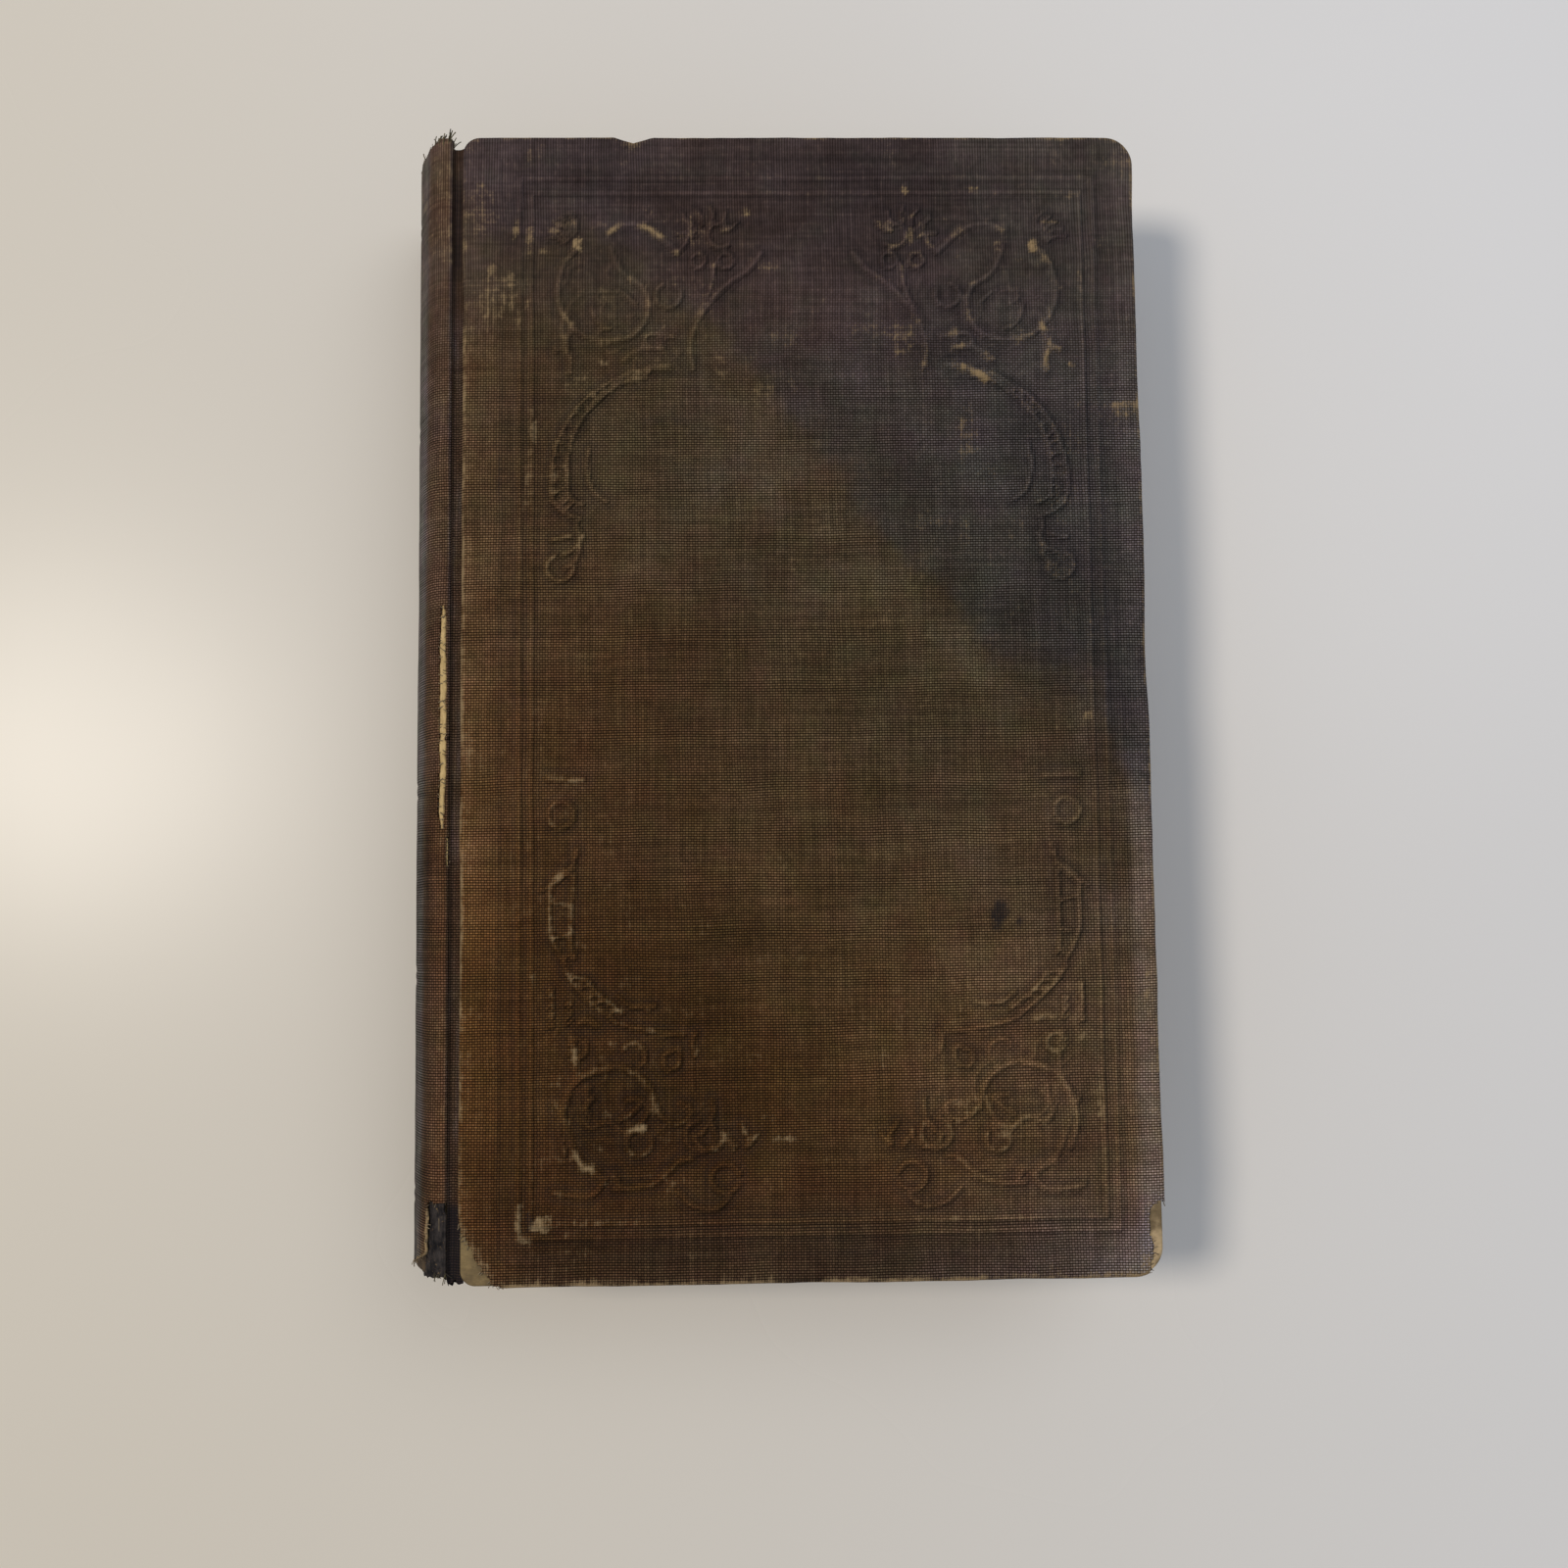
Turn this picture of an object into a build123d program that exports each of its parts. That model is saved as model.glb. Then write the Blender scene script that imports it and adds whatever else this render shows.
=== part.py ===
"""A cloth-covered hardback book, lying on its back cover with the spine to the left.

Axes: X from the spine to the fore-edge, Y from the tail to the head, Z up through the
closed book. The origin is the middle of the closed book's footprint. Every piece lies
where it is when the book is shut. Sizes are in millimetres.
"""

import os

from build123d import *

# --- Covers ---
board_width = 112.9
board_height = 190.0
board_thickness = 2.4
fore_corner_radius = 4.6
spine_corner_radius = 2.4
cloth_thickness = 0.4
turn_in = 12.0
board_edge_round = 0.35
pastedown_thickness = 0.2
pastedown_margin = 3.6
mull_thickness = 0.2
mull_flange_width = 24.0
mull_end_gap = 0.5

# --- Block of leaves ---
leaves_thickness = 24.2
end_square = 3.4
fore_square = 3.2
fore_hollow = 4.8
flyleaf_thickness = 0.3
cover_gap = 0.15

# --- Spine ---
joint_width = 1.8
spine_rise = 7.9
shoulder_drop = 0.9
shoulder_round = 5.0
groove_clearance = 0.95
groove_round = 0.55
groove_rim = 0.05
groove_share = 0.45
strip_gap = 0.3
shoulder_inset = 1.4
shoulder_slack = 0.2
flare_run = 2.2
inlay_thickness = 0.4
inlay_edge = 3.1
lining_thickness = 0.15
lining_edge = 4.0
hollow_gap = 0.25
glue_line = 0.02
tail_shortfall = 1.8

# --- Sewing cords in their saw cuts ---
cord_diameter = 0.9
cord_spacing = 55.0
cord_count = 3
cord_clearance = 0.1

# --- Wear that has a shape of its own ---
notch_place = 28.3
notch_width = 6.6
notch_depth = 1.5
notch_lean = 0.66
split_length = 40.6
split_width = 1.25
split_inset = 0.35
split_middle = -4.1
tear_length = 11.0
tear_reach = 5.2
worn_height = 10.0
worn_joint_reach = 4.6
worn_fore_reach = 3.0
worn_reach_share = 0.7
worn_height_share = 0.5

# --- Worked-out places ---
cover_depth = cloth_thickness + board_thickness + cloth_thickness + pastedown_thickness
block_half = leaves_thickness / 2
thickness = 2 * (block_half + flyleaf_thickness + cover_gap + cover_depth)
middle = thickness / 2
cloth_height = board_height + 2 * cloth_thickness
leaves_height = cloth_height - 2 * end_square
overall_width = spine_rise + joint_width + board_width + 2 * cloth_thickness

crown_x = -overall_width / 2
shoulder_x = crown_x + spine_rise
hinge_x = shoulder_x + joint_width / 2
cloth_x = shoulder_x + joint_width
board_x = cloth_x + cloth_thickness
board_middle_x = board_x + board_width / 2
board_end_x = board_x + board_width
strip_end_x = cloth_x - strip_gap
fore_edge_x = board_end_x - fore_square

# the groove is pressed down to a set height over the flyleaf, so a thicker board makes it deeper
shoulder_half = middle - shoulder_drop
groove_half = block_half + flyleaf_thickness + groove_clearance + cloth_thickness
groove_wall = shoulder_half - groove_half
tip_x = shoulder_x - shoulder_inset
tip_half = shoulder_half - cloth_thickness - shoulder_slack - mull_thickness - glue_line
flare_x = tip_x + flare_run

inlay_inset = cloth_thickness + glue_line
hollow_inset = inlay_inset + inlay_thickness + hollow_gap
lining_inset = hollow_inset + lining_thickness + glue_line
leaves_inset = lining_inset + mull_thickness + glue_line
leaves_crown_x = crown_x + leaves_inset
leaves_rise = tip_x - leaves_crown_x
leaves_radius = (tip_half**2 + leaves_rise**2) / (2 * leaves_rise)
spine_radius = leaves_radius + leaves_inset
spine_axis_x = crown_x + spine_radius

# the round over each shoulder keeps a short flat beside the rounded edge of the groove
groove_fillet = min(groove_round, groove_share * groove_wall)
shoulder_run = spine_axis_x - shoulder_x + groove_fillet + groove_rim
shoulder_limit = (spine_radius**2 - shoulder_half**2 - shoulder_run**2) / (2 * (spine_radius - shoulder_half))
shoulder_fillet = min(shoulder_round, shoulder_limit)

spine_tail_y = -cloth_height / 2 + tail_shortfall
spine_head_y = cloth_height / 2
spine_height = spine_head_y - spine_tail_y
spine_middle_y = (spine_head_y + spine_tail_y) / 2
mull_height = 2 * (min(board_height / 2, -spine_tail_y) - turn_in - mull_end_gap)


def section_plane(y):
    """The XZ plane at a height y along the spine, with its normal towards the tail."""
    return Plane.XZ.offset(-y)


def spine_outline(inset):
    """Closed section of the spine and both groove strips, drawn inside by the given inset."""
    half = shoulder_half - inset
    floor = groove_half - inset
    wall_x = shoulder_x - inset
    arc_end_x = spine_axis_x - ((spine_radius - inset) ** 2 - half**2) ** 0.5
    with BuildSketch(Plane.XZ) as outline:
        with BuildLine():
            crown_arc = ThreePointArc(
                (arc_end_x, middle + half),
                (crown_x + inset, middle),
                (arc_end_x, middle - half),
            )
            Polyline(
                crown_arc @ 1,
                (wall_x, middle - half),
                (wall_x, middle - floor),
                (cloth_x + joint_width, middle - floor),
                (cloth_x + joint_width, middle + floor),
                (wall_x, middle + floor),
                (wall_x, middle + half),
                crown_arc @ 0,
            )
        make_face()
        fillet(outline.vertices().group_by(Axis.X)[0], shoulder_fillet - inset)
        rims = outline.vertices().filter_by(lambda v: abs(v.X - wall_x) < glue_line)
        fillet(rims.filter_by(lambda v: abs(v.Y - middle) > (half + floor) / 2), groove_fillet - inset)
        feet = outline.vertices().filter_by(lambda v: abs(v.X - wall_x) < glue_line)
        fillet(feet.filter_by(lambda v: abs(abs(v.Y - middle) - floor) < glue_line), groove_fillet + inset)
    return outline.sketch


def leaves_outline():
    """Closed section of the sewn leaves: round spine, backed shoulders, hollow fore-edge."""
    with BuildSketch(Plane.XZ) as outline:
        with BuildLine():
            spine_arc = ThreePointArc(
                (tip_x, middle + tip_half),
                (leaves_crown_x, middle),
                (tip_x, middle - tip_half),
            )
            lower_flare = TangentArc((flare_x, middle - block_half), spine_arc @ 1, tangent=(-1, 0))
            upper_flare = TangentArc((flare_x, middle + block_half), spine_arc @ 0, tangent=(-1, 0))
            lower_face = Line(lower_flare @ 0, (fore_edge_x, middle - block_half))
            upper_face = Line(upper_flare @ 0, (fore_edge_x, middle + block_half))
            ThreePointArc(lower_face @ 1, (fore_edge_x - fore_hollow, middle), upper_face @ 1)
        make_face()
    return outline.sketch


def spine_ring(inset, ring_thickness, edge):
    """Curved strip along the round of the spine, stopping short of both shoulders."""
    outer = spine_radius - inset
    half = shoulder_half - edge
    with BuildSketch(Plane.XZ) as ring:
        with Locations((spine_axis_x, middle)):
            Circle(outer)
            Circle(outer - ring_thickness, mode=Mode.SUBTRACT)
        with Locations((crown_x + spine_rise / 2, middle)):
            Rectangle(spine_rise, 2 * half, mode=Mode.INTERSECT)
    return ring.sketch


def board_outline(notched):
    """Outline of a board seen from above, dented at the head where notched is true."""
    with BuildSketch() as outline:
        with Locations((board_middle_x, 0)):
            Rectangle(board_width, board_height)
        fillet(outline.vertices().group_by(Axis.X)[-1], fore_corner_radius)
        fillet(outline.vertices().group_by(Axis.X)[0], spine_corner_radius)
        if notched:
            with BuildLine():
                Polyline(
                    (board_x + notch_place - notch_width / 2, board_height / 2 + notch_depth),
                    (board_x + notch_place - notch_width / 2, board_height / 2),
                    (board_x + notch_place + notch_lean, board_height / 2 - notch_depth),
                    (board_x + notch_place + notch_width / 2, board_height / 2),
                    (board_x + notch_place + notch_width / 2, board_height / 2 + notch_depth),
                    close=True,
                )
            make_face(mode=Mode.SUBTRACT)
    return outline.sketch


def window_outline(inset):
    """Bare inner face of a board, between the turned-in edges of the cloth."""
    right = board_end_x - turn_in - inset
    left = cloth_x - cloth_thickness
    with BuildSketch() as outline:
        with Locations(((left + right) / 2, 0)):
            Rectangle(right - left, board_height - 2 * turn_in - 2 * inset)
    return outline.sketch


def mull_outline(outset):
    """Flange of the coarse backing cloth on the inner face of a board."""
    with BuildSketch() as outline:
        with Locations((board_x + (mull_flange_width + outset) / 2, 0)):
            Rectangle(mull_flange_width + outset, mull_height + 2 * outset)
    return outline.sketch


def pastedown_outline():
    """Endpaper glued down inside a cover."""
    right = board_end_x - pastedown_margin
    with BuildSketch() as outline:
        with Locations(((board_x + right) / 2, 0)):
            Rectangle(right - board_x, board_height - 2 * pastedown_margin)
    return outline.sketch


def save(piece, name):
    """Label a finished piece and write it as a node."""
    piece.part.label = name
    export_step(piece.part, f"parts/{name}.step")


os.makedirs("parts", exist_ok=True)

# --- Covers: cloth, board, backing cloth and endpaper, from the outside inwards ---
board_level = cloth_thickness
inner_level = board_level + board_thickness
turn_in_level = inner_level + cloth_thickness
dish_level = inner_level + pastedown_thickness
mull_level = inner_level + mull_thickness
tail_y = -cloth_height / 2
worn_corners = ((cloth_x, 1, worn_joint_reach), (board_end_x + cloth_thickness, -1, worn_fore_reach))

for side, face_z, inward, worn in (("front", thickness, -1, True), ("back", 0, 1, False)):
    outline = board_outline(worn)

    with BuildPart() as board:
        with BuildSketch(Plane.XY.offset(face_z + inward * board_level)):
            add(outline)
        extrude(amount=inward * board_thickness)
        outer_face = board.faces().sort_by(Axis.Z)[-1 if inward < 0 else 0]
        fillet(outer_face.edges(), board_edge_round)
    save(board, f"{side}_board")

    with BuildPart() as cloth:
        with BuildSketch(Plane.XY.offset(face_z)):
            add(outline)
            offset(amount=cloth_thickness, kind=Kind.ARC)
        extrude(amount=inward * turn_in_level)
        outer_face = cloth.faces().sort_by(Axis.Z)[-1 if inward < 0 else 0]
        fillet(outer_face.edges(), board_edge_round + cloth_thickness)
        add(board.part, mode=Mode.SUBTRACT)
        with BuildSketch(Plane.XY.offset(face_z + inward * inner_level)):
            add(window_outline(0))
        extrude(amount=inward * cloth_thickness, mode=Mode.SUBTRACT)
        if worn:
            # the cloth has gone from both corners of the tail
            for corner_edge_x, along, reach in worn_corners:
                with BuildSketch(Plane.XY.offset(face_z)):
                    with BuildLine():
                        Polyline(
                            (corner_edge_x, tail_y),
                            (corner_edge_x + along * reach, tail_y),
                            (corner_edge_x + along * reach * worn_reach_share, tail_y + worn_height * worn_height_share),
                            (corner_edge_x, tail_y + worn_height),
                            close=True,
                        )
                    make_face()
                extrude(amount=inward * inner_level, mode=Mode.SUBTRACT)
    save(cloth, f"{side}_cloth")

    with BuildPart() as flange:
        with BuildSketch(Plane.XY.offset(face_z + inward * inner_level)):
            add(mull_outline(0))
        extrude(amount=inward * mull_thickness)
    save(flange, f"{side}_mull_flange")

    with BuildPart() as pastedown:
        with BuildSketch(Plane.XY.offset(face_z + inward * inner_level)):
            add(pastedown_outline())
        extrude(amount=inward * (cover_depth - inner_level))
        # room for the turned-in cloth
        with BuildSketch(Plane.XY.offset(face_z + inward * inner_level)):
            add(pastedown_outline())
            add(window_outline(0), mode=Mode.SUBTRACT)
        extrude(amount=inward * cloth_thickness, mode=Mode.SUBTRACT)
        # room for the backing cloth
        with BuildSketch(Plane.XY.offset(face_z + inward * inner_level)):
            add(mull_outline(0))
        extrude(amount=inward * mull_thickness, mode=Mode.SUBTRACT)
        # the paper sinks between the turn-ins, and again beyond the backing cloth
        with BuildSketch(Plane.XY.offset(face_z + inward * cover_depth)):
            add(window_outline(pastedown_thickness))
        extrude(amount=-inward * (cover_depth - mull_level - pastedown_thickness), mode=Mode.SUBTRACT)
        with BuildSketch(Plane.XY.offset(face_z + inward * cover_depth)):
            add(window_outline(pastedown_thickness))
            add(mull_outline(pastedown_thickness), mode=Mode.SUBTRACT)
        extrude(amount=-inward * (cover_depth - dish_level), mode=Mode.SUBTRACT)
    save(pastedown, f"{side}_pastedown")

# --- Block of leaves, with saw cuts across the folds for the sewing cords ---
cut_radius = spine_radius - leaves_inset
cut_depth = cord_diameter + cord_clearance
cord_places = [(i - (cord_count - 1) / 2) * cord_spacing for i in range(cord_count)]

with BuildPart() as text_block:
    with BuildSketch(Plane.XZ):
        add(leaves_outline())
    extrude(amount=leaves_height / 2, both=True)
    for place in cord_places:
        with BuildSketch(section_plane(place)):
            add(spine_ring(leaves_inset - glue_line, cut_depth + glue_line, lining_edge - cord_diameter))
        extrude(amount=cut_depth / 2, both=True, mode=Mode.SUBTRACT)
save(text_block, "text_block")

cord_radius = cut_radius - cut_depth + cord_diameter / 2 + cord_clearance / 2
cord_half = shoulder_half - lining_edge
cord_end_x = spine_axis_x - (cord_radius**2 - cord_half**2) ** 0.5
with BuildPart() as sewing_cords:
    for place in cord_places:
        with BuildLine(section_plane(place)) as cord_path:
            ThreePointArc(
                (cord_end_x, middle + cord_half),
                (spine_axis_x - cord_radius, middle),
                (cord_end_x, middle - cord_half),
            )
        with BuildSketch(Plane(origin=cord_path.line @ 0, z_dir=cord_path.line % 0)):
            Circle(cord_diameter / 2)
        sweep(path=cord_path.line)
save(sewing_cords, "sewing_cords")

for side, level in (("front", middle + block_half), ("back", middle - block_half - flyleaf_thickness)):
    with BuildPart() as flyleaf:
        with BuildSketch(Plane.XY.offset(level)):
            with Locations(((flare_x + fore_edge_x) / 2, 0)):
                Rectangle(fore_edge_x - flare_x, leaves_height)
        extrude(amount=flyleaf_thickness)
    save(flyleaf, f"{side}_flyleaf")

# --- Spine: backing cloth, paper lining, stiff inlay and the case cloth ---
mull_end_x = flare_x - strip_gap
with BuildPart() as spine_mull:
    with BuildSketch(Plane.XZ):
        add(leaves_outline())
        offset(amount=mull_thickness + glue_line, kind=Kind.ARC)
        with BuildSketch(Plane.XZ, mode=Mode.PRIVATE) as glued:
            add(leaves_outline())
            offset(amount=glue_line, kind=Kind.ARC)
        add(glued.sketch, mode=Mode.SUBTRACT)
        with Locations(((crown_x + mull_end_x) / 2, middle)):
            Rectangle(mull_end_x - crown_x, thickness, mode=Mode.INTERSECT)
    extrude(amount=mull_height / 2, both=True)
save(spine_mull, "spine_mull")

with BuildPart() as spine_lining:
    with BuildSketch(Plane.XZ):
        add(spine_ring(hollow_inset, lining_thickness, lining_edge))
    extrude(amount=mull_height / 2, both=True)
save(spine_lining, "spine_lining")

with BuildPart() as spine_inlay:
    with BuildSketch(section_plane(spine_middle_y)):
        add(spine_ring(inlay_inset, inlay_thickness, inlay_edge))
    extrude(amount=spine_height / 2 - cloth_thickness - glue_line, both=True)
save(spine_inlay, "spine_inlay")

turn_in_inset = inlay_inset + inlay_thickness + glue_line
turn_in_edge = inlay_edge - 2 * cloth_thickness
with BuildPart() as spine_cloth:
    with BuildSketch(section_plane(spine_middle_y)):
        add(spine_outline(0))
        add(spine_outline(cloth_thickness), mode=Mode.SUBTRACT)
        with Locations(((crown_x + strip_end_x) / 2, middle)):
            Rectangle(strip_end_x - crown_x, thickness, mode=Mode.INTERSECT)
    extrude(amount=spine_height / 2, both=True)
    # folded over the head and tail of the inlay, and turned in behind it
    for end_y, into in ((spine_head_y, 1), (spine_tail_y, -1)):
        with BuildSketch(section_plane(end_y)):
            add(spine_ring(cloth_thickness, turn_in_inset, turn_in_edge))
        extrude(amount=into * cloth_thickness)
        with BuildSketch(section_plane(end_y)):
            add(spine_ring(turn_in_inset, cloth_thickness, turn_in_edge))
        extrude(amount=into * turn_in)
    # split along the front shoulder
    with BuildSketch(Plane.XY.offset(thickness)):
        with Locations((shoulder_x - split_inset - split_width / 2, split_middle)):
            SlotOverall(split_length, split_width, rotation=90)
    extrude(amount=-shoulder_drop - 2 * cloth_thickness, mode=Mode.SUBTRACT)
    # torn away at the tail beside the front joint
    with BuildSketch(Plane.XY.offset(thickness)):
        with Locations((shoulder_x + joint_width / 2 - tear_reach / 2, spine_tail_y + tear_length / 2)):
            Rectangle(tear_reach, tear_length)
    extrude(amount=-shoulder_drop - 4 * cloth_thickness, mode=Mode.SUBTRACT)
save(spine_cloth, "spine_cloth")

print(f"closed book {overall_width:.1f} x {cloth_height:.1f} x {thickness:.1f} mm")
print(f"joint line at x {hinge_x:.3f}, z {cloth_thickness * 0.75:.3f} and {thickness - cloth_thickness * 0.75:.3f}")
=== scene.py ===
"""Looks of an old hardback book bound in woven cloth, built round its fixed CAD frame.

Lengths inside the builders are in millimetres. They become metres when a mesh is made.
On a cover, u runs from the joint to the fore-edge and v from the tail to the head.
"""

import logging
import math
from collections.abc import Callable, Sequence
from dataclasses import dataclass, field
from enum import Enum

import bpy
import numpy as np
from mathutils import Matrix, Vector


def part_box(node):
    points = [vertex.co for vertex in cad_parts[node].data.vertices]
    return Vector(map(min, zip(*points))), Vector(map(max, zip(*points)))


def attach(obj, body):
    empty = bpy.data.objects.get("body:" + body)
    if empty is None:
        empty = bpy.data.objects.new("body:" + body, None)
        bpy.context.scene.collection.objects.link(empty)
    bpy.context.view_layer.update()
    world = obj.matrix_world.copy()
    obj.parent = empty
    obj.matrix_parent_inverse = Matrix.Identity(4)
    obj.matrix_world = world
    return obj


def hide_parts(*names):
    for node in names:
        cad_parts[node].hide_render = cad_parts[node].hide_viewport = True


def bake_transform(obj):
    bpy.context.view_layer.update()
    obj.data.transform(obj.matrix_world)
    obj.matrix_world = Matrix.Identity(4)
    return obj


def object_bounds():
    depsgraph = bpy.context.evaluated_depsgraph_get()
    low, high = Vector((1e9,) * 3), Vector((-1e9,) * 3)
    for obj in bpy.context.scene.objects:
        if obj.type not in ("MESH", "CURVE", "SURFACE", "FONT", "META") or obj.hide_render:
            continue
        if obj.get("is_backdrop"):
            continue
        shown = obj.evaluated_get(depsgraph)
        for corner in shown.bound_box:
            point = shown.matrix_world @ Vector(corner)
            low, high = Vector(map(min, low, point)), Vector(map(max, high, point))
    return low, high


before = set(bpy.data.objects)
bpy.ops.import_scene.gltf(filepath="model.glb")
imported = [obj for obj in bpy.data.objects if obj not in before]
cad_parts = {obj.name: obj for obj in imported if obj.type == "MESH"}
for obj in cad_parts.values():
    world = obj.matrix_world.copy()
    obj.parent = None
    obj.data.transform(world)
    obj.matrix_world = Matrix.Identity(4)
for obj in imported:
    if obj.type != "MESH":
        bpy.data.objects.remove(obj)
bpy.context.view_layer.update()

MM = 0.001
SNAP_SHARE = 0.62  # Of a grid cell: how far a corner is pulled to the edge of a hole.
CLOTH_TAIL = 95.4  # From the middle of the book to where v begins.
LOG = logging.getLogger("book")

Array = np.ndarray
Colour = tuple[float, float, float]
Point = tuple[float, float]
Spot = tuple[float, float, float]
Edges = tuple[float, float, float, float]
Socket = bpy.types.NodeSocket
Piece = bpy.types.Object
Finish = bpy.types.Material


class Side(Enum):
    """The two covers of the book."""

    FRONT = "front"
    BACK = "back"


# --- Small tools -----------------------------------------------------------------------


def node_box(name: str) -> tuple[Array, Array]:
    """Corners of a CAD node.

    Args:
        name: The node's name.

    Returns:
        Its lowest and highest corner, in millimetres.
    """
    low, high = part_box(name)
    return np.array(low) / MM, np.array(high) / MM


def smooth(x: Array | float) -> Array:
    """Ease a value from 0 to 1, flat at both ends."""
    x = np.clip(x, 0.0, 1.0)
    return x * x * (3 - 2 * x)


def cloud(x: Array, y: Array, size: float, seed: int, octaves: int = 4) -> Array:
    """Soft random blotches that are the same on each run.

    Args:
        x: First coordinates, in millimetres.
        y: Second coordinates, in millimetres.
        size: Width of the largest blotches.
        seed: Which pattern.
        octaves: How many finer layers are added, each half the size of the last.

    Returns:
        Values of about -1 to 1 with a mean near 0.
    """
    rng = np.random.default_rng(seed)
    total, reach, weight = np.zeros(np.shape(x)), 0.0, 1.0
    for layer in range(octaves):
        table = rng.random((64, 64)) * 2 - 1
        a, b = x / size * 2**layer + 7.3 * layer, y / size * 2**layer + 3.1 * layer
        i, j = np.floor(a).astype(int), np.floor(b).astype(int)
        s, t = smooth(a - i), smooth(b - j)
        i0, i1, j0, j1 = i % 64, (i + 1) % 64, j % 64, (j + 1) % 64
        low = table[i0, j0] * (1 - s) + table[i1, j0] * s
        high = table[i0, j1] * (1 - s) + table[i1, j1] * s
        total += weight * (low * (1 - t) + high * t)
        reach += weight
        weight *= 0.55
    return total / reach * 1.6


def hump(x: Array, middle: float, wide: float) -> Array:
    """A soft rise to 1 about a middle, given its width to either side."""
    return np.exp(-(((x - middle) / wide) ** 2))


def soft_spot(u: Array, v: Array, middle: Point, size: Point) -> Array:
    """A soft oval rise to 1 about a middle, given its half-sizes."""
    return np.exp(-(((u - middle[0]) / size[0]) ** 2) - ((v - middle[1]) / size[1]) ** 2)


def uphill(
    height: Callable[[Array, Array], Array], u: Array, v: Array, step: float = 0.2
) -> tuple[Array, Array]:
    """Which way a height rises at each place.

    Args:
        height: Gives the height at any places.
        u: First coordinates of the places.
        v: Second coordinates of the places.
        step: How far to either side it is measured.

    Returns:
        The two parts of a step of length 1 that way.
    """
    rise_u = height(u + step, v) - height(u - step, v)
    rise_v = height(u, v + step) - height(u, v - step)
    length = np.maximum(np.hypot(rise_u, rise_v), 1e-6)
    return rise_u / length, rise_v / length


def in_use(count: int, faces: Array) -> tuple[Array, Array]:
    """Find the corners that faces use.

    Args:
        count: How many corners there are.
        faces: Corner numbers of each face.

    Returns:
        True for each corner in use, and the faces numbered by those corners alone.
    """
    used = np.zeros(count, bool)
    used[faces.ravel()] = True
    return used, (np.cumsum(used) - 1)[faces]


def keep_plain(piece: Piece) -> None:
    """Keep what a piece's modifiers make as its plain mesh.

    Args:
        piece: The object.
    """
    made = bpy.data.meshes.new_from_object(piece.evaluated_get(bpy.context.evaluated_depsgraph_get()))
    piece.modifiers.clear()
    piece.data = made


def make_piece(
    name: str,
    points: Array,
    faces: Sequence[Sequence[int]] | Array,
    material: Finish,
    uv: Array | None = None,
    fields: dict[str, Array] | None = None,
) -> Piece:
    """Make a mesh object whose place is in its mesh.

    Args:
        name: The piece's name.
        points: Corner positions in millimetres, in the shared frame.
        faces: Corner numbers of each face, or nothing for loose points.
        material: Its finish.
        uv: Cloth coordinates of each corner, in millimetres.
        fields: Named numbers or vectors held at each corner.

    Returns:
        The object, smooth shaded.
    """
    mesh = bpy.data.meshes.new(name)
    mesh.from_pydata((points * MM).tolist(), [], [list(map(int, f)) for f in faces])
    mesh.polygons.foreach_set("use_smooth", [True] * len(mesh.polygons))
    if uv is not None:
        corner = np.empty(len(mesh.loops), int)
        mesh.loops.foreach_get("vertex_index", corner)
        layer = mesh.uv_layers.new(name="cloth_mm")
        layer.uv.foreach_set("vector", uv[corner].astype(np.float32).ravel())
    for key, values in (fields or {}).items():
        kind = "FLOAT_VECTOR" if values.ndim == 2 else "FLOAT"
        held = mesh.attributes.new(key, kind, "POINT")
        held.data.foreach_set("vector" if values.ndim == 2 else "value", values.astype(np.float32).ravel())
    mesh.materials.append(material)
    mesh.validate()
    piece = bpy.data.objects.new(name, mesh)
    bpy.context.scene.collection.objects.link(piece)
    return piece


def grid_faces(columns: int, rows: int, start: int = 0, flip: bool = False) -> Array:
    """Quads of a grid whose corners are numbered row by row within each column.

    Args:
        columns: How many columns of corners.
        rows: How many rows of corners.
        start: Number of the first corner.
        flip: True to turn the faces over.

    Returns:
        One row of four corner numbers for each quad.
    """
    i, j = np.meshgrid(np.arange(columns - 1), np.arange(rows - 1), indexing="ij")
    a = (start + i * rows + j).ravel()
    quads = np.stack([a, a + rows, a + rows + 1, a + 1], 1)
    return quads[:, ::-1] if flip else quads


def snap_to_edge(u: Array, v: Array, gone: Array, reach: float) -> tuple[Array, Array, Array]:
    """Pull grid corners near the edge of a hole onto it, so that the hole is not stepped.

    Args:
        u: First coordinates of the grid.
        v: Second coordinates of the grid.
        gone: How far inside the hole each corner lies, negative outside it.
        reach: How far a corner may be pulled.

    Returns:
        The moved coordinates, and gone with the pulled corners set to nothing.
    """
    su, sv = np.mean(np.abs(np.diff(u, axis=0))), np.mean(np.abs(np.diff(v, axis=1)))
    gu, gv = np.gradient(gone, su, sv)
    steep = np.maximum(gu**2 + gv**2, 0.05)
    du, dv = -gone * gu / steep, -gone * gv / steep
    near = np.hypot(du, dv) < reach
    return u + du * near, v + dv * near, np.where(near, 0.0, gone)


def open_edges(kept: Array, cut: Array) -> Array:
    """Edges between kept and removed faces.

    Args:
        kept: Quads that stay.
        cut: Quads that go.

    Returns:
        Pairs of corner numbers, in the order that a kept face runs along them.
    """
    if not len(cut):
        return np.zeros((0, 2), int)
    taken = {tuple(sorted(e)) for q in cut for e in zip(q, np.roll(q, -1))}
    pairs = [(a, b) for q in kept for a, b in zip(q, np.roll(q, -1)) if tuple(sorted((a, b))) in taken]
    return np.array(pairs, int).reshape(-1, 2)


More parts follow.
